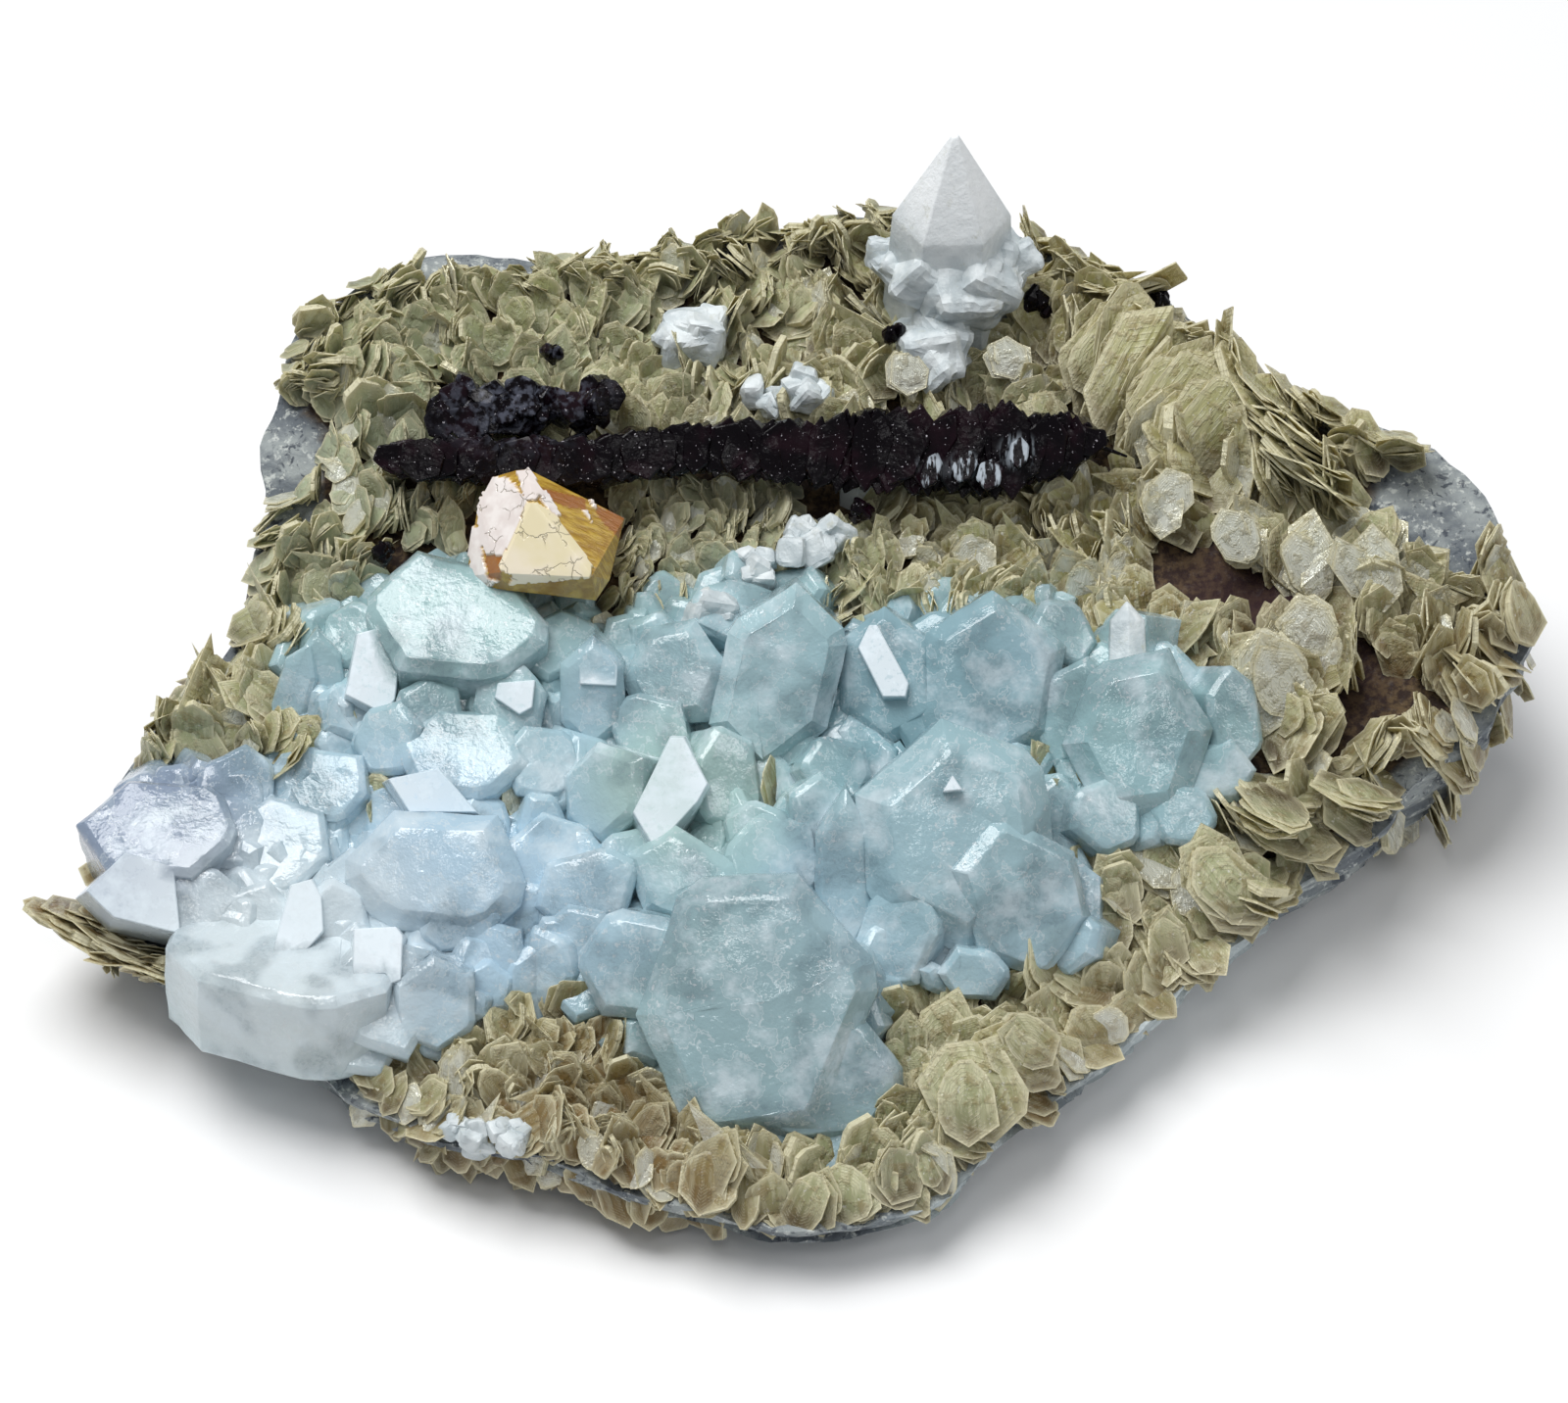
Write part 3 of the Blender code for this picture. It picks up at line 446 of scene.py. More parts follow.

# %% [markdown]
# ## Scheelite
# The one orange crystal shows three looks: a see-through gold body, and two plates on its front
# whose faces mirror the light; that light is painted on them as cream and pinkish white, crossed
# by fine dark cracks. The mesh says which face is which.

# %% Scheelite finish
def scheelite_finish():
    finish = Finish("scheelite")
    cream = finish.painted("cream")
    pink = finish.painted("pink")
    deep = finish.painted("deep")
    streaks = finish.clouds(2.4, detail=4, rough=0.6,
                            places=finish.stretched((1, 5, 1), (0, 0, -52)))
    gold = finish.mixed(streaks.over(0.40, 0.62), (0.50, 0.27, 0.010), (0.80, 0.52, 0.06))
    gold = finish.mixed(finish.clouds(5, detail=3, warp=1.0).over(0.50, 0.66) * 0.5, gold,
                        (0.36, 0.15, 0.008))
    gold = finish.mixed(deep * 0.9, gold, (0.34, 0.10, 0.008))
    # Painted reflection: the plates are painted cream and pinkish white for the light their faces mirror.
    plates = finish.mixed(finish.clouds(7, detail=3).over(0.4, 0.6),
                          (0.84, 0.74, 0.48), (0.90, 0.80, 0.62))
    pale = finish.mixed(finish.clouds(3, detail=3).over(0.4, 0.6),
                        (0.78, 0.70, 0.66), (0.90, 0.84, 0.80))
    colour = finish.mixed(cream, gold, plates)
    colour = finish.mixed(pink, colour, pale)
    push = finish.node("ShaderNodeTexNoise", {}, {"Vector": finish.places, "Scale": 900.0})
    broken = finish.node("ShaderNodeVectorMath", {"operation": "MULTIPLY_ADD"},
                         {0: push.outputs["Color"], 1: (0.0014, 0.0014, 0.0014),
                          2: finish.places}).outputs[0]
    edges = finish.cells(3.4, "DISTANCE_TO_EDGE", broken)
    cracks = (1 - edges.over(0.0, 0.032)) * finish.clouds(4, detail=2).over(0.48, 0.54)
    cracks = cracks * (cream + pink)
    colour = finish.mixed(cracks * 0.6, colour, (0.26, 0.20, 0.10))
    relief = finish.bump(1 - cracks, 0.10)
    relief = finish.bump(streaks * (1 - cream) * (1 - pink), 0.25, relief)
    rough = 0.14 + 0.12 * finish.clouds(2, detail=3)
    front = finish.shader(Base_Color=colour, Roughness=rough, IOR=1.92, Normal=relief)
    body = finish.shader(Base_Color=(0.98, 0.72, 0.24, 1), Roughness=0.05, IOR=1.92,
                         Transmission_Weight=1.0, Normal=relief)
    share = 0.70 + 0.30 * cream + 0.30 * pink + 0.2 * deep
    both = finish.node("ShaderNodeMixShader", {}, {0: share, 1: body, 2: front})
    inside = finish.node("ShaderNodeVolumeAbsorption", {},
                         {"Color": (0.95, 0.62, 0.12, 1), "Density": 60.0})
    finish.tree.links.new(inside.outputs[0], finish.output.inputs["Volume"])
    return finish.shade(both.outputs[0])


scheelite = scheelite_finish()
print("finish", scheelite.name)

# %% [markdown]
# ## Black crystal and white quartz
# The long crystal is nearly black, with a brown-purple depth and glints from small steps; its
# bump is fine noise. Its smallest glints are painted on as pale specks, and the glossy blades at
# its right end carry painted blue-grey highlight streaks. Quartz and albite are white: milky,
# slightly blue, and dull where the surface is grainy.

# %% Black and white finishes
GLOSSY = [(950, 480), (984, 476), (1010, 484), (1040, 462)]
GLOSSY_PLACES = [seen_at(px, py, 10.5) for px, py in GLOSSY]


def black_finish():
    finish = Finish("black_crystal")
    # Painted glints: tiny pale specks on the black.
    painted_sparkles = finish.clouds(0.45, detail=2, rough=0.7).over(0.68, 0.71)
    colour = finish.mixed(finish.clouds(5, detail=3).over(0.45, 0.65), (0.002, 0.0008, 0.002),
                          (0.010, 0.003, 0.006))
    colour = finish.mixed(painted_sparkles * 0.8, colour, (0.55, 0.52, 0.56))
    branch = finish.near((-36, 48, 46), 16) * finish.clouds(1.2, detail=4).over(0.44, 0.62)
    colour = finish.mixed(branch * 0.6, colour, (0.12, 0.13, 0.17))
    streaks = finish.clouds(0.9, detail=3, rough=0.6,
                            places=finish.stretched((1, 0.25, 0.25), (0, 0, 40)))
    for place in GLOSSY_PLACES:
        # Painted highlight: blue-grey streaks on the glossy blades for the light they mirror.
        painted_highlight = finish.near(place, 3.6) * streaks.over(0.50, 0.60)
        colour = finish.mixed(painted_highlight * 0.8, colour, (0.50, 0.56, 0.62))
    relief = finish.bump(finish.clouds(0.8, detail=3), 0.14)
    rough = 0.20 + 0.12 * finish.clouds(3, detail=3).over(0.45, 0.7)
    return finish.shade(finish.shader(Base_Color=colour, Roughness=rough, IOR=1.28,
                                      Normal=relief))


def quartz_finish():
    finish = Finish("quartz")
    milk = finish.clouds(5, detail=4, rough=0.6, warp=0.6)
    colour = finish.mixed(milk.over(0.38, 0.62), (0.52, 0.58, 0.60), (0.72, 0.77, 0.78))
    # Partly the point's own whiter milk, partly painted light: its less lit faces are painted whiter.
    colour = finish.mixed(finish.near((23, 67, 68), 16) * 0.85, colour, (0.93, 0.95, 0.96))
    dirt = finish.clouds(2.2, detail=4, rough=0.7).over(0.58, 0.74)
    colour = finish.mixed(dirt * 0.45, colour, (0.45, 0.45, 0.33))
    relief = finish.bump(finish.clouds(1.4, detail=5, rough=0.65), 0.25)
    rough = 0.30 + 0.30 * finish.clouds(2.5, detail=3).over(0.40, 0.68)
    return finish.shade(finish.shader(Base_Color=colour, Roughness=rough, IOR=1.54,
                                      Normal=relief))


black = black_finish()
quartz = quartz_finish()
print("finishes", black.name, quartz.name)

# %% [markdown]
# ## Tools for pieces
# Every crystal here is placed by the middle of its outer end, and its axis leans from the
# vertical to a compass direction, as in the part. A piece is finished in one way: it is moved
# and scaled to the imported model, its faces are shaded smooth up to a sharp edge, and it is
# said which body it rides on and which solid it stands for.

# %% Place, measure and finish a piece
def turned(azimuth, lean, roll=0.0):
    """The turn that leans a crystal's axis and rolls it about that axis."""
    turn = Matrix.Rotation(math.radians(azimuth + 90), 4, "Z")
    turn = turn @ Matrix.Rotation(math.radians(lean), 4, "X")
    return turn @ Matrix.Rotation(math.radians(roll), 4, "Z")


def pixel(point):
    """Where the camera sees a point of the part."""
    away = Vector(point) - TARGET
    depth = DISTANCE - away.dot(TOWARDS)
    return (IMAGE[0] / 2 + away.dot(RIGHT) * FOCAL / depth,
            IMAGE[1] / 2 - away.dot(UPWARD) * FOCAL / depth)


def inside(point, outline):
    """Say whether a point lies in an outline."""
    x, y = point
    hits = 0
    for (ax, ay), (bx, by) in zip(outline, outline[1:] + outline[:1]):
        if (ay > y) != (by > y) and x < (bx - ax) * (y - ay) / (by - ay) + ax:
            hits += 1
    return hits % 2 == 1


def finish_piece(bm, name, material, stands_for=(), crease=28):
    """Turn a mesh in millimetres into a finished piece of the scene."""
    bmesh.ops.translate(bm, vec=MOVED, verts=bm.verts)
    bmesh.ops.scale(bm, vec=(MM, MM, MM), verts=bm.verts)
    mesh = bpy.data.meshes.new(name)
    bm.to_mesh(mesh)
    bm.free()
    mesh.shade_smooth()
    mesh.set_sharp_from_angle(angle=math.radians(crease))
    mesh.materials.append(material)
    piece = bpy.data.objects.new(name, mesh)
    bpy.context.scene.collection.objects.link(piece)
    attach(piece, "root")
    if stands_for:
        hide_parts(*stands_for)
    print(name, len(mesh.polygons), "faces")
    return piece


# %% [markdown]
# ## The host rock
# Schist breaks along its layers into ledges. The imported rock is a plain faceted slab, so this
# one starts from the same sphere with many more rings, takes the same form from the same
# numbers, and is then broken into ledges on its wall and pitted on top. Its base stays the flat
# saw cut that it rests on.

# %% Rock
RING_SIDES = 260
TOP_RINGS = 46
WALL_RINGS = 24
BASE_RINGS = 10
BASE_SHARE = 0.87
LEDGE_HEIGHT = 4.5
LEDGE_DEPTH = 1.3
BARE_ROCK = [
    [(76, 26), (84, 52), (100, 60), (110, 20), (98, 22), (88, 25)],
    [(-66, 14), (-63, 50), (-80, 60), (-95, 40), (-95, 18)],
    [(-70, 66), (-40, 72), (-20, 84), (-20, 110), (-90, 110), (-90, 66)],
]


def rock_mesh():
    rings = TOP_RINGS + WALL_RINGS + BASE_RINGS
    bm = bmesh.new()
    bmesh.ops.create_uvsphere(bm, u_segments=RING_SIDES, v_segments=rings, radius=1)
    bed = bm.verts.layers.float.new("bed")
    for vert in bm.verts:
        angle = math.atan2(vert.co.y, vert.co.x)
        ring = round(math.acos(min(max(vert.co.z, -1), 1)) / math.pi * rings)
        radius, edge = rim_at(angle)
        down = min(max((ring - TOP_RINGS) / WALL_RINGS, 0.0), 1.0)
        inward = max((ring - TOP_RINGS - WALL_RINGS) / BASE_RINGS, 0.0)
        reach = radius * min(ring / TOP_RINGS, 1.0) * (1 - (1 - BASE_SHARE) * down ** 2)
        reach *= 1 - inward
        x, y = reach * math.cos(angle), reach * math.sin(angle) + MIDDLE_Y
        if down == 0.0:
            pits = noise.fractal(Vector((x, y, 0)) / 5.0, 0.8, 2.1, 4)
            vert.co = (x, y, rock_top(x, y) + 0.9 * pits)
            bare = any(inside((x, y), outline) for outline in BARE_ROCK)
            vert[bed] = 0.0 if bare or ring > TOP_RINGS - 3 else 1.0
            continue
        height = edge * (1 - down)
        tilt = height + 0.18 * y + 1.6 * noise.noise(Vector((x, y, height)) / 14.0)
        ledge = (tilt / LEDGE_HEIGHT) % 1.0
        grain = noise.fractal(Vector((x, y, height * 2)) / 3.5, 0.7, 2.1, 4)
        out = (LEDGE_DEPTH * (ledge - 0.6) + 0.7 * grain) * min(down * 6, 1) * (1 - inward)
        vert.co = (x + out * math.cos(angle), y + out * math.sin(angle),
                   height if down < 1 else 0.0)
    bmesh.ops.recalc_face_normals(bm, faces=bm.faces)
    return bm


finish_piece(rock_mesh(), "host_rock", schist, ["matrix_rock"], crease=50)

# %% [markdown]
# ## Beryl tablets
# Each crystal is a six-sided prism that is short for its width. It starts as a cone with equal
# ends, its corners are moved a little so that no two tablets match, and its rims are bevelled.
# Tablets that grow through each other are one body, so a group's tablets are joined by a
# Boolean. The rows say: middle of the face, half sizes, length, lean, azimuth, whether a corner
# points up, roll, and the bevel of its rims. They are the rows of the part, so that each group
# stays where its solid is.

# %% Beryl rows
Tablet = namedtuple("Tablet", "at half_x half_y length lean azimuth phase roll bevel")


def plate(at, half_x, half_y, length, lean=42, azimuth=-90, phase=30, roll=0, bevel=0.0):
    """One six-sided tablet, with the usual values for what isn't stated."""
    return Tablet(Vector(at), half_x, half_y, length, lean, azimuth, phase, roll, bevel)


BERYL_GROUPS = {
    "beryl_front_group": [
        plate((-3, -44, 26.5), 16, 18.5, 22, lean=40, roll=8, bevel=3),
        plate((-18.5, -36, 25.5), 9, 8.5, 18, lean=40, azimuth=-110, roll=10, bevel=1.5),
        plate((4, -50, 19), 11, 9, 16, lean=50, azimuth=-75, roll=-8, bevel=1.5),
        plate((7.5, -22.5, 27), 4.5, 12, 18, lean=48, phase=0, bevel=1),
        plate((-12, -24, 26.5), 9, 7, 18, lean=35, azimuth=-100, roll=-15, bevel=1.5),
        plate((-1.5, -20, 27), 7, 7, 18, lean=30, azimuth=-60, roll=20),
        plate((5, -13.5, 28.5), 5, 6, 15, azimuth=-70, phase=0, roll=-12),
        plate((-19, -19, 25.5), 5.5, 4.5, 15, lean=36, azimuth=-70),
        plate((-26, -29.5, 22.5), 5, 4.5, 13, lean=46, azimuth=-110),
        plate((9, -36, 22.5), 5.5, 6.5, 14, lean=50, azimuth=-50, phase=0),
    ],
    "beryl_front_right_group": [
        plate((23, -21.5, 32), 14, 16.5, 22, lean=40, azimuth=-86, phase=0, roll=4, bevel=4),
        plate((31, -26.5, 26.5), 8.5, 10.5, 18, lean=48, azimuth=-70, phase=0, bevel=1.5),
        plate((14, -29, 23), 6, 8, 16, lean=52, azimuth=-125, phase=0),
        plate((42, -13, 27), 5.5, 5, 13, lean=38, azimuth=-60),
        plate((52, -12, 26.5), 5, 4.5, 12, lean=36, azimuth=-100),
        plate((24, -34, 21), 5, 4, 13, lean=48),
    ],
    "beryl_blue_group": [
        plate((-45, -23.5, 28), 13.5, 9.5, 18, lean=34, roll=-6, bevel=2.5),
        plate((-30.5, -18.5, 25), 8, 6, 15, lean=30, azimuth=-60, roll=12),
        plate((-42, -4, 30.5), 9.5, 7, 16, lean=12, azimuth=-80, roll=-14, bevel=1.2),
        plate((-45, -10, 29.5), 6, 5.5, 14, lean=42, azimuth=-96, phase=0, roll=-30, bevel=0.6),
        plate((-60, -7, 27), 6.5, 6, 14, lean=25, azimuth=-120, roll=15),
        plate((-65.5, -15.5, 25), 7, 6.5, 13, lean=20, azimuth=-100, roll=-10),
        plate((-28.5, -29.5, 21.5), 4.5, 4.5, 12, lean=45, azimuth=-80),
        plate((-25, -23.5, 25.5), 7, 5.5, 14, lean=38, azimuth=-95, roll=25),
        plate((-56, -22, 24), 5, 5, 13, lean=36, azimuth=-120),
        plate((-57, -27, 24), 4.5, 5, 13, lean=44, azimuth=-75, phase=0),
        plate((-71.5, -7, 27.5), 6, 5, 13, lean=26, azimuth=-60),
        plate((-41, -28, 23.5), 5.5, 4, 13, lean=50, roll=10),
        plate((-52, -2, 30.5), 5, 5.5, 14, lean=38, azimuth=-120, phase=0),
        plate((-32, -4.5, 29), 6.5, 5.5, 14, lean=32, azimuth=-70, roll=-20),
    ],
    "beryl_middle_group": [
        plate((-14.5, -12.5, 32), 5.5, 7.5, 18, azimuth=-92, phase=0, roll=-20, bevel=0.5),
        plate((-24, -11, 29), 6.5, 7, 16, lean=46, azimuth=-135, roll=10, bevel=1.2),
        plate((-7, -8.5, 28.5), 5.5, 8, 15, lean=45, azimuth=-50, phase=0, roll=-15),
        plate((-0.5, 3.5, 36.5), 9, 13, 18, lean=48, phase=0, roll=-8, bevel=2.5),
        plate((-15, 6, 34), 8, 8, 15, lean=34, azimuth=-100, roll=15, bevel=2),
        plate((-7, 17, 35), 6, 4.5, 10, lean=25, azimuth=-60),
        plate((-18, 0, 30.5), 6, 5, 14, lean=38, azimuth=-110),
        plate((7.5, -7, 29.5), 5, 5, 14, lean=40, azimuth=-60, phase=0),
        plate((-4, -15.5, 27.5), 5, 4.5, 14, lean=36, azimuth=-120),
    ],
    "beryl_upper_left_group": [
        plate((-43, 12.5, 38.5), 13, 11, 14, lean=12, azimuth=-80, roll=-16, bevel=1.5),
        plate((-54, 6, 33.5), 4.2, 5.8, 14, azimuth=-94, phase=0, roll=-6, bevel=0.4),
        plate((-65, 6.5, 30.5), 3, 6, 12, lean=52, azimuth=-120, phase=0),
        plate((-61, 7.5, 31.5), 3.2, 6, 13, lean=50, azimuth=-80, phase=0),
        plate((-36, 2.5, 32.5), 5.5, 5, 13, lean=36, roll=20),
        plate((-25, 3, 32.5), 5, 7.5, 15, lean=50, phase=0, bevel=1.2),
        plate((-30, 12, 33.5), 6, 5, 12, lean=22, azimuth=-60),
        plate((-58, 14, 34), 5, 5, 12, lean=30, azimuth=-130),
        plate((-46, 1.5, 31.5), 5, 4.5, 12, lean=40, azimuth=-80, phase=0),
    ],
    "beryl_right_group": [
        plate((28, 4, 34.5), 10, 12.5, 18, lean=40, azimuth=-80, phase=0, roll=-12, bevel=2.5),
        plate((13.5, 5, 33.5), 7.5, 9.5, 16, azimuth=-105, phase=0, roll=12, bevel=1.5),
        plate((12.5, 3, 35.5), 2.6, 5.2, 12, azimuth=-92, phase=0, roll=14, bevel=0.4),
        plate((20, 0, 29.5), 6, 5.5, 13, lean=45),
        plate((46, -4, 33.5), 10.5, 11.5, 18, lean=38, azimuth=-95, roll=10, bevel=3),
        plate((59, 0, 31.5), 4.5, 7.5, 14, lean=45, azimuth=-60, phase=0, roll=-15),
        plate((56.5, -6, 28), 5.5, 4.5, 12, lean=40, azimuth=-80),
        plate((38, 2, 31.5), 5.5, 8, 14, azimuth=-110, phase=0),
        plate((20.5, 11, 34.5), 5.5, 5, 14, lean=30, azimuth=-120),
        plate((37, 13, 34.5), 4.5, 5.5, 13, lean=36, azimuth=-60, phase=0),
    ],
    "beryl_front_left_group": [
        plate((-64, -32, 23.5), 17.5, 9, 13.5, lean=14, azimuth=80, roll=-4, bevel=1),
        plate((-50, -37, 21.5), 7, 8, 15, lean=30, azimuth=-70, phase=0, bevel=1),
        plate((-61.5, -28, 25), 3, 6.5, 9, lean=46, azimuth=-100, phase=0, roll=-10, bevel=0.4),
        plate((-51.5, -34, 24.5), 4.5, 5, 13, azimuth=-92, phase=0, bevel=0.4),
        plate((-44.5, -38.5, 21), 6, 6, 14, lean=48, azimuth=-85, phase=0, bevel=0.8),
        plate((-38, -35, 19.5), 4, 4, 11, lean=40, azimuth=-70),
    ],
    "beryl_left_crystal": [
        plate((-81, -14.5, 28), 11, 8.5, 17, lean=8, azimuth=-100, roll=4, bevel=1),
        plate((-71.5, -14.5, 26), 6.5, 6.5, 14, lean=24, azimuth=-60, phase=0, bevel=1),
        plate((-75, -24, 24), 6, 5, 13, lean=30, azimuth=-80),
    ],
}
print("tablets", sum(len(rows) for rows in BERYL_GROUPS.values()))

# %% [markdown]
# The faces that shine in the photograph are flat and look straight back at the light near the
# camera. Their outlines are crisp, so each is given by its corners as the camera sees them and
# by its height above the specimen's surface. The face lies in a plane that mirrors the light to
# the camera, and the crystal behind it is the convex hull of that face and a wider one below.

# %% Make one tablet or one shining crystal
SHINING = 0.6
CORNER_SHIFT = 0.12
BLUNTED = 0.14
EDGE_BEVEL = 0.12
SOFTBOX = EYE + UPWARD * 120
SHINING_FACES = {
    "beryl_upper_left_group": [
        ([(365, 647), (390, 640), (409, 663), (403, 714), (391, 728), (353, 709)], 6.0),
        ([(508, 697), (546, 694), (543, 722), (530, 729), (505, 712)], 6.4),
        ([(590, 662), (618, 665), (630, 680), (629, 700), (592, 698)], 7.4)],
    "beryl_blue_group": [([(396, 795), (448, 784), (487, 829), (418, 829)], 6.6)],
    "beryl_left_crystal": [
        ([(88, 909), (128, 870), (177, 884), (184, 953), (116, 936)], 5.2)],
    "beryl_middle_group": [
        ([(684, 753), (698, 753), (722, 800), (712, 818), (668, 866), (646, 829), (660, 800)],
         8.6)],
    "beryl_right_group": [
        ([(887, 638), (895, 638), (927, 697), (924, 711), (901, 711), (876, 661)], 8.2)],
    "beryl_front_left_group": [
        ([(361, 948), (404, 946), (411, 955), (409, 1000), (368, 1016), (360, 1003)], 6.6),
        ([(297, 903), (318, 897), (328, 915), (330, 950), (300, 985), (277, 977)], 5.6)],
    "beryl_front_group": [
        ([(710, 978), (717, 984), (708, 1042), (700, 1035)], 11.6),
        ([(727, 898), (760, 898), (760, 909), (722, 911)], 7.8)],
    "beryl_front_right_group": [([(962, 808), (972, 791), (982, 806)], 15.6)],
}
SHINING_DEPTH = 9.0


def facing_light(point):
    """The direction of a face that mirrors the light by the camera."""
    half_way = (EYE - Vector(point)).normalized() + (SOFTBOX - Vector(point)).normalized()
    return half_way.normalized()


def shining_crystal(outline, rise):
    """One crystal with a flat face whose corners are seen at given pixels."""
    middle = [sum(values) / len(outline) for values in zip(*outline)]
    centre = seen_at(*middle, rise)
    normal = facing_light(centre)
    bm = bmesh.new()
    for px, py in outline:
        sight = (seen_at(px, py) - EYE).normalized()
        corner = EYE + sight * ((centre - EYE).dot(normal) / sight.dot(normal))
        bm.verts.new(corner)
        bm.verts.new(centre + (corner - centre) * 1.25 - normal * SHINING_DEPTH)
    bmesh.ops.convex_hull(bm, input=bm.verts)
    bmesh.ops.dissolve_limit(bm, angle_limit=math.radians(2), verts=bm.verts, edges=bm.edges)
    bmesh.ops.recalc_face_normals(bm, faces=bm.faces)
    bmesh.ops.bevel(bm, geom=list(bm.edges), offset=EDGE_BEVEL, segments=1, profile=0.5,
                    affect="EDGES", material=-1, clamp_overlap=True)
    for face in bm.faces:
        face.material_index = 1
    bmesh.ops.triangulate(bm, faces=bm.faces)
    return bm


def tablet(row, chance):
    """One crystal, placed, with its corners moved and its rims bevelled."""
    bm = bmesh.new()
    bmesh.ops.create_cone(bm, cap_ends=True, segments=6, radius1=1, radius2=1, depth=2)
    shifts = [Vector((chance.uniform(-1, 1), chance.uniform(-1, 1), 0)) * CORNER_SHIFT
              for _ in range(6)]
    for vert in bm.verts:
        vert.co += shifts[round(math.degrees(math.atan2(vert.co.y, vert.co.x)) / 60) % 6]
    turn = Matrix.Rotation(math.radians(row.phase), 3, "Z")
    bmesh.ops.rotate(bm, matrix=turn, verts=bm.verts)
    bmesh.ops.scale(bm, vec=(row.half_x, row.half_y, row.length / 2), verts=bm.verts)
    upright = [edge for edge in bm.edges
               if abs(edge.verts[0].co.z - edge.verts[1].co.z) > 1 and chance.random() < 0.4]
    bmesh.ops.bevel(bm, geom=upright, offset=row.half_x * BLUNTED, segments=1, profile=0.5,
                    affect="EDGES", material=-1, clamp_overlap=True)
    rims = [edge for edge in bm.edges if abs(edge.verts[0].co.z - edge.verts[1].co.z) < 0.01]
    bmesh.ops.bevel(bm, geom=rims, offset=max(row.bevel, 0.8), segments=1, profile=0.5,
                    affect="EDGES", material=-1, clamp_overlap=True)
    bmesh.ops.bevel(bm, geom=list(bm.edges), offset=EDGE_BEVEL, segments=1, profile=0.5,
                    affect="EDGES", material=-1, clamp_overlap=True)
    place = Matrix.Translation(row.at) @ turned(row.azimuth, row.lean, row.roll)
    place = place @ Matrix.Translation((0, 0, -row.length / 2))
    bmesh.ops.transform(bm, matrix=place, verts=bm.verts)
    bmesh.ops.triangulate(bm, faces=bm.faces)
    return bm


# %% [markdown]
# The belt has no bare rock in it: smaller tablets fill the room between the large ones. They
# are sown over the group, wherever no large face is, a little below the large faces, and lean
# much as their neighbours do, so that the whole looks like one broken mass of ice.

# %% Small tablets
BELT = [(375, 580), (480, 595), (620, 620), (700, 605), (780, 590), (850, 630), (960, 612),
        (1060, 605), (1110, 660), (1190, 655), (1240, 740), (1235, 815), (1170, 835), (1090, 825),
        (1100, 900), (1110, 945), (1080, 985), (1010, 1000), (950, 1005), (900, 990),
        (875, 1040), (895, 1130), (860, 1175), (780, 1185), (700, 1145), (640, 1060),
        (590, 1010), (520, 1000), (480, 1050), (440, 1075), (400, 1055), (330, 1090),
        (190, 1055), (150, 1040), (185, 970), (105, 920), (80, 860), (125, 815), (210, 800),
        (285, 780), (300, 720), (290, 680), (350, 640)]


def in_group(at, rows, size):
    """Say how a place lies to the large tablets: on one, beside one, or far from all."""
    beside = False
    for row in rows:
        away = turned(row.azimuth, row.lean).inverted() @ (Vector(at) - Vector(row.at))
        far = math.hypot(away.x / row.half_x, away.y / row.half_y)
        if far < 0.7:
            return "on"
        beside = beside or (math.hypot(away.x, away.y) < math.hypot(row.half_x, row.half_y) * 0.72
                            + size * 0.6 and abs(away.z) < 12)
    return "beside" if beside else "far"


def small_tablets(rows, chance):
    """Crystals that fill the room between the large ones."""
    xs = [row.at.x for row in rows]
    ys = [row.at.y for row in rows]
    placed = []
    for _ in range(900):
        x = chance.uniform(min(xs) - 9, max(xs) + 9)
        y = chance.uniform(min(ys) - 6, max(ys) + 9)
        size = chance.uniform(3.0, 7.0)
        at = Vector((x, y, surface(x, y) + chance.uniform(-2.5, 1.6)))
        crowded = any((at - old).length < size * 0.75 for old in placed)
        if crowded or rim_share(x, y) > 0.93 or in_group(at, rows, size) != "beside":
            continue
        if not inside(pixel(at), BELT):
            continue
        placed.append(at)
        yield plate(at, size * chance.uniform(0.6, 1.0), size, 11, lean=chance.uniform(22, 58),
                    azimuth=-90 + chance.uniform(-60, 60), phase=chance.choice((0, 30)),
                    roll=chance.uniform(-25, 25), bevel=0.5)


def as_object(bm, name):
    """A helper object for a Boolean."""
    mesh = bpy.data.meshes.new(name)
    bm.to_mesh(mesh)
    bm.free()
    return bpy.data.objects.new(name, mesh)


def joined(meshes):
    """Join overlapping closed meshes in one skin."""
    solids = [as_object(bm, "solid") for bm in meshes]
    group = bpy.data.collections.new("solids")
    bpy.context.scene.collection.children.link(group)
    bpy.context.scene.collection.objects.link(solids[0])
    for solid in solids[1:]:
        group.objects.link(solid)
    union = solids[0].modifiers.new("Union", "BOOLEAN")
    union.operation = "UNION"
    union.operand_type = "COLLECTION"
    union.collection = group
    union.solver = "MANIFOLD"
    bpy.context.view_layer.update()
    result = solids[0].evaluated_get(bpy.context.evaluated_depsgraph_get())
    bm = bmesh.new()
    bm.from_mesh(result.to_mesh())
    for solid in solids:
        bpy.data.objects.remove(solid, do_unlink=True)
    bpy.data.collections.remove(group)
    return bm


# %% [markdown]
# A joined group is flat between its edges. Real faces are etched, so the long edges are split
# until no triangle is large, and the corners are moved by noise. The shining faces are marked
# by a second material number while this is done, and keep flat; what is left of the mark is a
# value on their corners that the finish reads.

# %% Etch and finish the groups
LONGEST_EDGE = 2.5
ETCHING = 0.16
ETCHING_SPACING = 2.6
SWELL = 0.3
SWELL_SPACING = 9.0


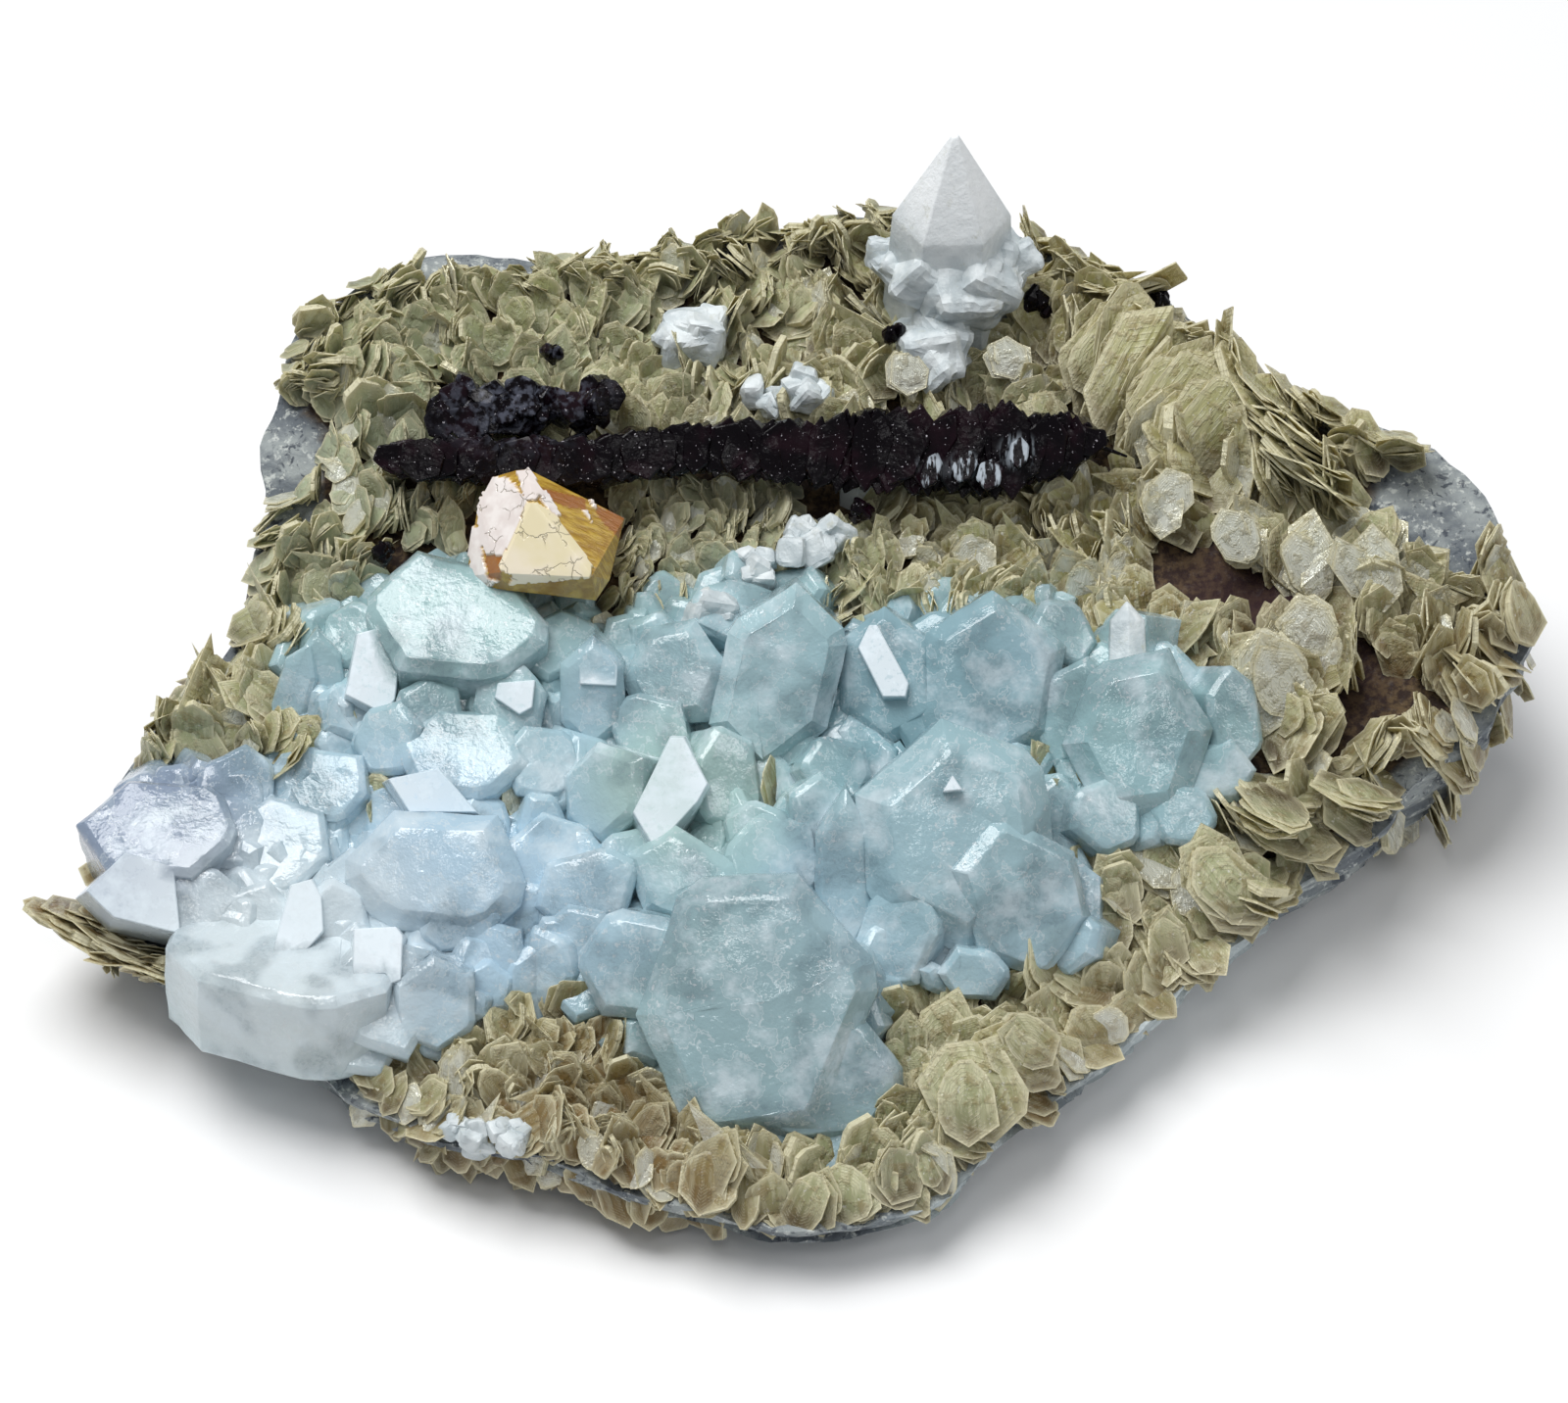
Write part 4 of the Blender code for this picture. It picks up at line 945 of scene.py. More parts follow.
def split_up(bm, longest, rounds):
    """Halve the long edges, a few times over."""
    for _ in range(rounds):
        edges = [edge for edge in bm.edges if edge.calc_length() > longest]
        if not edges:
            break
        bmesh.ops.subdivide_edges(bm, edges=edges, cuts=1)
        bmesh.ops.triangulate(bm, faces=bm.faces)


def roughen(bm, height, spacing):
    """Move a mesh's corners in and out along their normals by noise, but not shining faces."""
    bm.normal_update()
    for vert in bm.verts:
        if not any(face.material_index for face in vert.link_faces):
            vert.co += vert.normal * height * noise.fractal(vert.co / spacing, 0.8, 2.1, 4)


for seed, (name, rows) in enumerate(BERYL_GROUPS.items()):
    chance = random.Random(seed)
    rows = [row for row in rows if not 0 < row.bevel <= SHINING]
    crystals = [tablet(row, chance) for row in rows + list(small_tablets(rows, chance))]
    crystals += [shining_crystal(outline, rise) for outline, rise in SHINING_FACES[name]]
    skin = joined(crystals)
    split_up(skin, LONGEST_EDGE, 4)
    roughen(skin, SWELL, SWELL_SPACING)
    roughen(skin, ETCHING, ETCHING_SPACING)
    # The finish reads this value to paint the shining faces pale: a painted reflection.
    flat = skin.verts.layers.float.new("flat")
    for vert in skin.verts:
        vert[flat] = float(all(face.material_index for face in vert.link_faces))
    for face in skin.faces:
        face.material_index = 0
    name_of_piece = name.replace("_group", "").replace("_crystal", "") + "_tablets"
    finish_piece(skin, name_of_piece, beryl, [name], crease=22)

# %% [markdown]
# ## Muscovite books
# A book of mica is a stack of thin sheets that split from each other, so each book is a few
# closed sheets, turned and tipped a little against one another. Modelling thousands by hand is
# hopeless and copies of a single one look stamped. So a few dozen different books are made once,
# and every book on the specimen is one of them, scaled, leaned and rolled.

# %% One sheet and one book
BOOK_KINDS = 30


def sheet(bm, chance, thickness, place, bend):
    """Add one six-sided sheet of about unit radius to a book."""
    one = bmesh.new()
    bmesh.ops.create_circle(one, cap_ends=True, radius=1, segments=6)
    for vert in one.verts:
        vert.co *= chance.uniform(0.84, 1.08)
    for _ in range(chance.choice((0, 1, 1, 2))):
        out = Matrix.Rotation(chance.uniform(0, 2 * math.pi), 3, "Z") @ Vector((1, 0, 0))
        bmesh.ops.bisect_plane(one, geom=one.verts[:] + one.edges[:] + one.faces[:],
                               plane_co=out * chance.uniform(0.62, 0.9), plane_no=out,
                               clear_outer=True)
    rounded = [vert for vert in one.verts if chance.random() < 0.45]
    bmesh.ops.bevel(one, geom=rounded, offset=chance.uniform(0.14, 0.26), segments=1,
                    profile=0.5, affect="VERTICES", material=-1, clamp_overlap=True)
    bmesh.ops.poke(one, faces=one.faces)
    rim = one.verts.layers.float.new("rim")
    for vert in one.verts:
        vert[rim] = float(vert.is_boundary)
        vert.co.z = bend[0] * vert.co.x ** 2 + bend[1] * vert.co.y ** 2
    bmesh.ops.recalc_face_normals(one, faces=one.faces)
    bmesh.ops.solidify(one, geom=one.faces, thickness=thickness)
    bmesh.ops.recalc_face_normals(one, faces=one.faces)
    bmesh.ops.transform(one, matrix=place, verts=one.verts)
    scratch = bpy.data.meshes.new("sheet")
    one.to_mesh(scratch)
    one.free()
    bm.from_mesh(scratch)
    bpy.data.meshes.remove(scratch)


def book(chance, sheets):
    """A stack of sheets of about unit radius, whose face looks along Z."""
    bm = bmesh.new()
    bm.verts.layers.float.new("rim")
    pitch = chance.uniform(0.05, 0.11)
    thick = chance.uniform(0.10, 0.22) if chance.random() < 0.4 else 0.0
    fan = math.radians(chance.uniform(0, 5))
    bend = (chance.uniform(-0.30, 0.04), chance.uniform(-0.20, 0.10))
    long = chance.uniform(1.0, 1.45)
    for index in range(sheets):
        depth = index * pitch + (thick if index else 0.0)
        slip = Vector((chance.uniform(-0.18, 0.18), chance.uniform(-0.2, 0.2), -depth))
        spin = Matrix.Rotation(math.radians(60 * chance.randrange(6) + chance.uniform(-7, 7)),
                               4, "Z")
        size = chance.uniform(0.72, 1.0)
        place = Matrix.Translation(slip) @ Matrix.Rotation(fan * index, 4, "X")
        place = place @ Matrix.Diagonal((size / long, size * long, 1, 1)) @ spin
        thickness = thick if thick and not index else pitch * chance.uniform(0.35, 0.6)
        sheet(bm, chance, thickness, place, bend)
    mesh = bpy.data.meshes.new("book")
    bm.to_mesh(mesh)
    bm.free()
    for name in ("tone", "silver", "raised"):
        mesh.attributes.new(name, "FLOAT", "POINT")
    mesh.attributes.new("leaf", "FLOAT_VECTOR", "POINT")
    return mesh


chance = random.Random(7)
books = [book(chance, 2 + kind % 2) for kind in range(BOOK_KINDS)]
print("books of", min(len(mesh.polygons) for mesh in books), "to",
      max(len(mesh.polygons) for mesh in books), "faces")

# %% [markdown]
# ## Where mica grows
# Each side of the specimen has its own bed, whose books face about one way and lie on each other
# like roof tiles. They keep off the crystals that the photograph shows free of mica, so a book's
# middle is projected to the picture and compared with those crystals' outlines.

# %% Crystals that mica leaves free
CLEAR = [(470, 250, 90, 30), (553, 545, 80, 64), (540, 405, 90, 26), (560, 468, 165, 26),
         (780, 458, 180, 32), (960, 458, 160, 44), (1215, 582, 66, 40), (1290, 612, 50, 34),
         (1412, 706, 56, 40),
         (985, 225, 62, 88), (705, 330, 28, 28), (752, 612, 62, 30), (845, 505, 40, 34),
         (815, 408, 30, 18), (1060, 295, 22, 22), (1185, 297, 18, 18), (920, 340, 16, 16),
         (1150, 458, 34, 14), (395, 555, 16, 16), (565, 370, 14, 14)]
RIDGE_BACK = (-40, 38, 46)
PIXELS_PER_MM = FOCAL / DISTANCE
for rows in BERYL_GROUPS.values():
    for row in rows:
        px, py = pixel(row.at)
        scale = PIXELS_PER_MM * 0.9
        CLEAR.append((px, py, row.half_x * scale, row.half_y * scale))


def keeps_clear(point, ease_off=1.0):
    """Say whether a book with its middle here leaves every crystal in view."""
    px, py = pixel(point)
    hidden = RIDGE_BACK[0] < point.x < RIDGE_BACK[1] and 0 < point.y - RIDGE_BACK[2] < 9
    return hidden or all(((px - x) / rx) ** 2 + ((py - y) / ry) ** 2 > ease_off
                         for x, y, rx, ry in CLEAR)


# %% [markdown]
# The beds repeat the outlines and directions that the part gives its crusts, because each piece
# here stands for one of them. A bed says: outline, half sizes of its books, azimuth and lean
# with their spreads, how pale and how silvery it looks, and how much of its wall is covered.
# A few books stand out in the photograph: clear hexagons, long green ones and the pages at the
# left tip. They are landmarks: pixel, rise, half size, azimuth, lean, roll, paleness and silver.

# %% Beds
BEDS = {
    "mica_back_left": (
        [(-76, 62), (-70, 84), (-39, 90), (-22, 92), (-22, 54), (-49, 56), (-60, 50)],
        (2.0, 4.4), (-100, 100), (62, 22), (0.45, 1.0), 0.10, 0.45),
    "mica_back_middle": (
        [(-22, 92), (17, 92), (17, 65), (18, 53), (-22, 54)],
        (2.0, 4.8), (-80, 110), (58, 24), (0.4, 1.0), 0.12, 0.45),
    "mica_back_right": (
        [(17, 65), (17, 92), (42, 95), (62, 85), (55, 69), (43, 63), (42, 50), (18, 53)],
        (2.2, 5.0), (-80, 90), (60, 20), (0.4, 1.0), 0.12, 0.45),
    "mica_left_fan": (
        [(-60, 50), (-56, 52), (-46, 52), (-44, 30), (-42, 23), (-57, 23), (-60, 17), (-71, 17),
         (-71, 35)],
        (2.4, 5.0), (-140, 90), (66, 18), (0.5, 1.0), 0.12, 0.5),
    "mica_left_rosette": (
        [(-96, 20), (-71, 20), (-66, 12), (-66, -2), (-100, -6)],
        (3.0, 6.2), (-120, 100), (52, 24), (0.4, 1.0), 0.15, 0.5),
    "mica_left_tip": (
        [(-108, -6), (-90, -6), (-82, -26), (-80, -45), (-108, -30)],
        (3.0, 6.0), (-150, 60), (30, 12), (0.1, 0.6), 0.15, 0.8),
    "mica_middle": (
        [(-24, 42), (11, 42), (12, 21), (-23, 20)],
        (1.6, 3.6), (-90, 110), (56, 26), (0.5, 1.0), 0.15, 0.5),
    "mica_right_band": (
        [(12, 42), (47, 41), (46, 19), (12, 21)],
        (1.9, 4.4), (-90, 110), (58, 24), (0.5, 1.0), 0.15, 0.5),
    "mica_right_back": (
        [(43, 63), (62, 85), (80, 68), (92, 52), (78, 38), (47, 40)],
        (3.6, 8.0), (-50, 50), (58, 18), (0.5, 1.0), 0.08, 0.5),
    "mica_right_middle": (
        [(47, 40), (78, 38), (80, 29), (60, 16), (46, 17)],
        (3.2, 6.5), (-85, 60), (50, 18), (0.1, 0.9), 0.28, 0.5),
    "mica_right_side": (
        [(80, 29), (97, 23), (103, 10), (103, -6), (77, -3), (63, 2), (62, 16)],
        (3.0, 6.5), (-80, 80), (60, 18), (0.2, 0.9), 0.22, 0.6),
    "mica_right_front": (
        [(63, -2), (77, -4), (104, -7), (95, -22), (66, -34), (54, -25), (40, -19), (46, -15)],
        (3.4, 7.6), (-10, 100), (34, 24), (0.0, 0.8), 0.06, 0.0),
    "mica_front_right": (
        [(40, -19), (54, -25), (64, -36), (50, -56), (36, -64), (12, -50), (16, -38), (36, -32)],
        (2.8, 6.6), (-30, 90), (40, 24), (0.0, 0.8), 0.06, 0.0),
    "mica_front_tip": (
        [(12, -50), (36, -64), (20, -76), (-6, -78), (-18, -72), (-12, -52)],
        (2.6, 5.6), (-90, 80), (52, 22), (0.1, 0.8), 0.15, 0.6),
    "mica_front": (
        [(-68, -44), (-46, -43), (-24, -40), (-13, -53), (-18, -72), (-40, -70), (-70, -60)],
        (2.0, 5.0), (-90, 90), (54, 24), (0.0, 0.6), 0.12, 1.0),
}
LANDMARKS = {
    "mica_left_tip": [
        (72 + 15 * step, 926 + 9 * step, -6.5, 5.8, 48 + 4 * step, 46 + 2 * step, 25 * step, 0.0,
         0) for step in range(8)],
    "mica_right_middle": [
        (1300, 690, 5.0, 7.5, -88, 50, 10, 0.7, 1), (1345, 652, 4.0, 5.4, -75, 46, 30, 0.8, 1),
        (1338, 574, 5.0, 5.2, -90, 45, 0, 1.0, 1), (1270, 545, 4.0, 4.4, -80, 50, 25, 0.9, 1),
        (1190, 515, 4.0, 4.0, -85, 48, 5, 0.9, 1)],
    "mica_right_side": [(1400, 580, 5.5, 5.5, -95, 47, 15, 1.0, 1)],
    "mica_right_back": [
        (1140 + 22 * step, 355 + 22 * step, 5.5 - 0.4 * step, 9.5, -62 - 4 * step, 58, -42, 0.9, 0)
        for step in range(5)] + [
        (1290 + 14 * step, 410 + 16 * step, 4.5, 8.5, 30 + 4 * step, 50, 40, 0.9, 0)
        for step in range(5)],
    "mica_back_right": [(930, 382, 5.0, 3.8, -88, 46, 0, 0.8, 1), (1033, 372, 5.0, 3.8, -88, 46, 20,
                                                                   0.8, 1)],
    "mica_front": [(467, 1098, 0.5, 4.4, -95, 52, 0, 0.6, 1)],
    "mica_front_tip": [(737, 1190, 1.5, 4.4, -90, 50, 20, 0.7, 1)],
    "mica_front_right": [
        (992, 1120, 2.5, 8.0, -80, 44, 12, 0.6, 0), (1045, 1070, 3.0, 6.4, -55, 50, 35, 0.5, 0)],
    "mica_right_front": [
        (1250, 895, 1.5, 7.0, -60, 42, 20, 0.8, 0), (1310, 830, 4.0, 7.0, 60, 30, 40, 0.4, 0),
        (1390, 805, 4.0, 6.6, 70, 34, 50, 0.5, 0)],
}
ROOT_SPACING = 0.80
FIELD_SPACING = 9.0
TRIES = 22
WALL_STEP = 4.2
FOOT = 2.0


class Bed:
    """One bed's mesh, to which books are added."""

    def __init__(self, chance, tones, silver):
        self.bm = bmesh.new()
        for name in ("rim", "tone", "silver", "raised"):
            self.bm.verts.layers.float.new(name)
        self.bm.verts.layers.float_vector.new("leaf")
        self.chance = chance
        self.tones = tones
        self.silver = silver
        self.count = 0

    def add(self, middle, size, turn, tone=None, silver=None):
        """Put one book with its face's middle at a place."""
        mesh = books[self.chance.randrange(BOOK_KINDS)].copy()
        shift = Vector((self.chance.uniform(0, 100), self.chance.uniform(0, 100), 0))
        leaf = [value for vert in mesh.vertices for value in (vert.co * size + shift) * MM]
        mesh.attributes["leaf"].data.foreach_set("vector", leaf)
        deep = size * self.chance.uniform(0.7, 1.3)
        mesh.transform(Matrix.Translation(middle) @ turn @ Matrix.Diagonal((size, size, deep, 1)))
        if tone is None:
            tone = self.chance.uniform(*self.tones)
        if silver is None:
            silver = self.chance.random() < self.silver
        heights = [vert.co.z for vert in mesh.vertices]
        low, high = min(heights), max(heights)
        raised = [(height - low) / (high - low) for height in heights]
        mesh.attributes["raised"].data.foreach_set("value", raised)
        for name, value in (("tone", tone), ("silver", float(silver))):
            mesh.attributes[name].data.foreach_set("value", [value] * len(heights))
        mesh.transform(Matrix.Translation((0, 0, max(FOOT / 8 - low, 0))))
        self.bm.from_mesh(mesh)
        bpy.data.meshes.remove(mesh)
        self.count += 1

    def stand(self, root, size, azimuth, lean, rise=0.75):
        """Stand one book on its root, if it leaves the crystals in view."""
        turn = turned(azimuth, lean)
        middle = root + turn @ Vector((0, 1, 0)) * size * rise
        if keeps_clear(middle):
            spin = Matrix.Rotation(self.chance.uniform(-0.5, 0.5), 4, "Z")
            self.add(middle, size, turn @ spin)

    def fan(self, root, size, azimuth, lean, number):
        """Books that open like pages: the first lies flattest and the last stands up."""
        out = Vector((math.cos(math.radians(azimuth)), math.sin(math.radians(azimuth)), 0))
        for index in range(number):
            share = index / max(number - 1, 1) - 0.5
            self.stand(root - out * share * size * 0.9, size * self.chance.uniform(0.7, 1.1),
                       azimuth + self.chance.uniform(-14, 14),
                       lean + 44 * share + self.chance.uniform(-6, 6),
                       self.chance.uniform(0.55, 0.9))


def spread_over(chance, outline, spacing):
    """Places in an outline that keep a distance from one another."""
    xs = [point[0] for point in outline]
    ys = [point[1] for point in outline]
    area = (max(xs) - min(xs)) * (max(ys) - min(ys))
    placed = {}
    for _ in range(int(TRIES * area / spacing ** 2)):
        x, y = chance.uniform(min(xs), max(xs)), chance.uniform(min(ys), max(ys))
        column, row = int(x // spacing), int(y // spacing)
        near = [placed.get((column + i, row + j)) for i in (-1, 0, 1) for j in (-1, 0, 1)]
        if all(old is None or math.dist((x, y), old) > spacing for old in near):
            if inside((x, y), outline):
                placed[column, row] = (x, y)
    return list(placed.values())


def grow_top(grown, bed):
    """Cover a bed's upper side with fans of books, each patch of them turned its own way."""
    outline, sizes, azimuths, leans = bed[:4]
    chance = grown.chance
    field = chance.uniform(0, 100)
    for x, y in spread_over(chance, outline, sum(sizes) / 2 * ROOT_SPACING):
        share = rim_share(x, y)
        if share > 0.99:
            continue
        size = chance.triangular(sizes[0], sizes[1], sizes[0] + (sizes[1] - sizes[0]) * 0.4)
        spot = Vector((x, y, field)) / FIELD_SPACING
        azimuth = azimuths[0] + 2.0 * noise.noise(spot) * azimuths[1] + chance.uniform(-20, 20)
        sway = noise.noise(spot + Vector((0, 0, 40)))
        lean = leans[0] + 1.6 * sway * leans[1] + chance.uniform(-8, 8)
        if share > 0.9:
            azimuth = math.degrees(math.atan2(y - MIDDLE_Y, x)) + chance.uniform(-70, 70)
        root = Vector((x, y, rock_top(x, y) + CRUST_DEPTH * chance.uniform(0.0, 0.7)))
        grown.fan(root, size, azimuth, lean, chance.choice((3, 4, 5)))


def grow_wall(grown, bed):
    """Hang a bed's books over the rim and down the rock's wall."""
    outline, sizes, covered = bed[0], bed[1], bed[6]
    chance = grown.chance
    mean = sum(sizes) / 2
    steps = int(2 * math.pi * 85 / (mean * 0.8))
    for step in range(steps):
        angle = 2 * math.pi * (step + chance.uniform(-0.3, 0.3)) / steps
        radius, edge = rim_at(angle)
        out = Vector((math.cos(angle), math.sin(angle), 0))
        if not inside((out.x * radius * 0.95, out.y * radius * 0.95 + MIDDLE_Y), outline):
            continue
        rows = max(round((edge - FOOT) / WALL_STEP), 1)
        for row in range(-1, rows):
            patch = 0.5 + 0.9 * noise.noise(out * radius / 15 + Vector((0, 0, row / 2.5)))
            if row >= 0 and patch > (max(covered, 0.6) if row == 0 and covered else covered):
                continue
            height = edge - (row + 0.4) * (edge - FOOT) / rows
            down = min(max(1 - height / edge, 0.0), 1.0)
            size = min(chance.uniform(*sizes), mean * 1.1, max(height, 2) * 0.85)
            reach = radius * (1 - (1 - BASE_SHARE) * down ** 2)
            reach -= (0.7 * size if row < 0 else 0.1 * size if row == 0 else -0.4)
            steep = (25, 60) if row < 0 else (40, 75) if row == 0 else (62, 86)
            turn = turned(math.degrees(angle) + chance.uniform(-40, 40), chance.uniform(*steep))
            spin = Matrix.Rotation(chance.uniform(-0.6, 0.6), 4, "Z")
            place = out * reach + Vector((0, MIDDLE_Y, max(height, size * 1.3 + 0.3)))
            if row > 0 or keeps_clear(place):
                grown.add(place, size, turn @ spin)


for seed, (name, bed) in enumerate(BEDS.items()):
    grown = Bed(random.Random(100 + seed), bed[4], bed[5])
    grow_top(grown, bed)
    grow_wall(grown, bed)
    for px, py, rise, size, azimuth, lean, roll, tone, silver in LANDMARKS.get(name, []):
        for turn in (0, 14, -11):
            shift = Vector((grown.chance.uniform(-0.2, 0.2), grown.chance.uniform(-0.2, 0.2), 0))
            place = seen_at(px, py, rise) + shift * size - TOWARDS * abs(turn) * 0.05
            grown.add(place, size * (1 - abs(turn) * 0.015),
                      turned(azimuth + turn, lean + turn / 2, roll + turn), tone, silver)
    print(name, grown.count, "books")
    finish_piece(grown.bm, name + "_books", mica, [name], crease=30)

# %% [markdown]
# The beryl belt has mica in its gaps too: small books, placed wherever no bed and no tablet is.

# %% Mica between the tablets
filling = Bed(random.Random(55), (0.2, 0.9), 0.15)
whole = [(-110, -90), (110, -90), (110, 95), (-110, 95)]
for x, y in spread_over(filling.chance, whole, 2.2):
    if rim_share(x, y) > 0.97 or any(inside((x, y), bed[0]) for bed in BEDS.values()):
        continue
    if any(inside((x, y), outline) for outline in BARE_ROCK):
        continue
    root = Vector((x, y, rock_top(x, y) + CRUST_DEPTH * 0.3))
    if keeps_clear(root + Vector((0, 1, 2)), 1.15):
        filling.stand(root, filling.chance.uniform(2.2, 5.0),
                      -90 + filling.chance.uniform(-90, 90), filling.chance.uniform(30, 75))
print("small books", filling.count)
finish_piece(filling.bm, "mica_between_tablets", mica, crease=30)

# %% [markdown]
# ## Scheelite
# A scheelite crystal is a double pyramid with blunt sides. Its corners are read off the
# photograph as pixels, each with a height above the specimen's surface, and the convex hull
# operator makes the facets between them. The cream face carries a thin raised plate.

# %% Scheelite crystal
SCHEELITE_CORNERS = [
    (544, 512, 17.0), (511, 584, 12.2), (604, 588, 12.2), (622, 592, 8.0), (637, 529, 9.5),
    (600, 510, 12.6), (578, 500, 13.2), (554, 500, 16.2), (539, 479, 16.2), (527, 480, 15.4),
    (519, 488, 14.6), (503, 487, 13.4), (488, 515, 11.4), (476, 588, 6.5), (522, 603, 9.0),
    (500, 600, 8.0), (555, 606, 8.5), (608, 613, 7.0),
]
ROOTS = [(500, 560, -8), (600, 560, -8), (540, 500, -8)]
CREAM_PLATE = [(539, 512), (549, 514), (567, 527), (604, 577), (602, 589), (560, 593), (530, 595),
               (518, 598), (524, 586), (511, 583), (510, 576), (521, 556), (529, 540)]
PINK_PLATES = [
    [(503, 487), (519, 488), (539, 512), (533, 528), (528, 542), (515, 567), (498, 566),
     (493, 558), (489, 538), (488, 515)],
    [(527, 481), (539, 479), (554, 500), (548, 511), (537, 511)],
    [(550, 501), (557, 501), (572, 526), (566, 528), (551, 511)],
    [(484, 537), (492, 540), (494, 572), (499, 590), (511, 592), (497, 600), (476, 588),
     (482, 574), (478, 566)],
    [(600, 510), (605, 510), (609, 520), (604, 519)], [(595, 522), (599, 522), (607, 539)],
]
DEEP_PATCHES = [
    [(553, 499), (578, 503), (598, 510), (598, 521), (575, 517), (562, 510)],
    [(494, 564), (515, 568), (511, 591), (499, 591)],
    [(603, 512), (638, 529), (634, 553), (612, 530)],
]
PLATE_THICKNESS = 0.35
PAINT_SPACING = 0.5


def scheelite_mesh():
    bm = bmesh.new()
    for px, py, rise in SCHEELITE_CORNERS + ROOTS:
        bm.verts.new(seen_at(px, py, rise))
    made = bmesh.ops.convex_hull(bm, input=bm.verts)
    spare = [item for item in made["geom_interior"] if isinstance(item, bmesh.types.BMVert)]
    bmesh.ops.delete(bm, geom=spare, context="VERTS")
    bmesh.ops.dissolve_limit(bm, angle_limit=math.radians(2), verts=bm.verts, edges=bm.edges)
    bmesh.ops.recalc_face_normals(bm, faces=bm.faces)
    bmesh.ops.triangulate(bm, faces=bm.faces)
    split_up(bm, PAINT_SPACING, 7)
    layers = {name: bm.verts.layers.float.new(name) for name in ("cream", "pink", "deep")}
    bm.normal_update()
    for vert in bm.verts:
        if vert.normal.dot(TOWARDS) < 0.1:
            continue
        at = pixel(vert.co)
        if any(inside(at, outline) for outline in PINK_PLATES):
            vert[layers["pink"]] = 1.0
        elif inside(at, CREAM_PLATE):
            vert[layers["cream"]] = 1.0
        elif any(inside(at, outline) for outline in DEEP_PATCHES):
            vert[layers["deep"]] = 1.0
        if vert[layers["pink"]] or vert[layers["cream"]]:
            vert.co += vert.normal * PLATE_THICKNESS
    return bm


finish_piece(scheelite_mesh(), "scheelite_facets", scheelite,
             ["scheelite_crystal"], crease=22)

# %% [markdown]
# ## The long black crystal
# It is a row of steep blades that overlap like steps, each one's upper end standing a little
# over the next. Each blade is a squat six-sided prism with a bevelled rim and a rough skin. The
# right end is a closed fan of glossy blades, and a thin needle points out of it.

# %% Black blades
RIDGE = [(400, 452, 486), (445, 444, 494), (600, 446, 497), (640, 440, 492), (700, 430, 486),
         (745, 426, 488), (800, 430, 494), (880, 416, 504), (960, 410, 508), (1040, 412, 506),
         (1085, 420, 492), (1112, 434, 466)]
BLADE_STEP = 6


def blade(at, width, height, depth, azimuth, lean, roll, shining=False):
    """One blade of the black crystal."""
    bm = bmesh.new()
    bmesh.ops.create_cone(bm, cap_ends=True, segments=6, radius1=0.85, radius2=1, depth=2)
    bmesh.ops.scale(bm, vec=(width, height, depth / 2), verts=bm.verts)
    bmesh.ops.bevel(bm, geom=list(bm.edges), offset=0.2, segments=1, profile=0.5,
                    affect="EDGES", material=-1, clamp_overlap=True)
    for face in bm.faces:
        face.material_index = int(shining)
    place = Matrix.Translation(at) @ turned(azimuth, lean, roll)
    place = place @ Matrix.Translation((0, 0, -depth / 2))
    bmesh.ops.transform(bm, matrix=place, verts=bm.verts)
    bmesh.ops.triangulate(bm, faces=bm.faces)
    return bm


def black_blades():
    chance = random.Random(11)
    for before, after in zip(RIDGE, RIDGE[1:]):
        count = max(round((after[0] - before[0]) / BLADE_STEP), 1)
        for index in range(count):
            step = (index + chance.uniform(0.2, 0.8)) / count
            px, top, bottom = [before[i] + (after[i] - before[i]) * step for i in range(3)]
            half = (bottom - top) / 2 / PIXELS_PER_MM
            at = seen_at(px, (top + bottom) / 2, 8.8 + chance.uniform(-0.9, 0.9))
            yield blade(at, chance.uniform(1.6, 3.4), half * chance.uniform(0.85, 1.15), 9,
                        -90 + chance.uniform(-20, 14), 46 + chance.uniform(-8, 8),
                        chance.uniform(-24, 10))
    for px, py in GLOSSY:
        at = seen_at(px, py, 10.6)
        facing = facing_light(at)
        yield blade(at, chance.uniform(1.4, 2.0), chance.uniform(2.0, 2.8), 5,
                    math.degrees(math.atan2(facing.y, facing.x)),
                    math.degrees(math.acos(facing.z)), chance.uniform(-30, 30), True)
    for index in range(24):
        share = index / 23
        at = seen_at(445 + 178 * share, 408 - 3 * share + chance.uniform(-14, 14),
                     9 + chance.uniform(-1, 1))
        yield blade(at, chance.uniform(1.2, 2.6), chance.uniform(1.2, 2.6), 7,
                    -90 + chance.uniform(-60, 60), 44 + chance.uniform(-24, 24),
                    chance.uniform(0, 60))
    for index in range(7):
        at = seen_at(448 + 12 * index, 428 + chance.uniform(-5, 5), 8.5)
        yield blade(at, 2.2, 2.6, 7, -90, 48, chance.uniform(0, 60))


ridge = joined(list(black_blades()))
split_up(ridge, 1.6, 4)
roughen(ridge, 0.22, 1.6)
for face in ridge.faces:
    face.material_index = 0
finish_piece(ridge, "black_blades", black, ["black_ridge"], crease=20)

needle = bmesh.new()
bmesh.ops.create_cone(needle, cap_ends=True, segments=6, radius1=0.5, radius2=0.18, depth=6)
tip, foot = seen_at(1150, 466, 6), seen_at(1108, 450, 7)
aim = (tip - foot).to_track_quat("Z", "Y").to_matrix().to_4x4()
bmesh.ops.transform(needle, matrix=Matrix.Translation((tip + foot) / 2) @ aim,
                    verts=needle.verts)
finish_piece(needle, "black_needle", black)

# %% [markdown]
# The small black crystals are clusters of bevelled double pyramids. Each keeps the place of
# its solid.

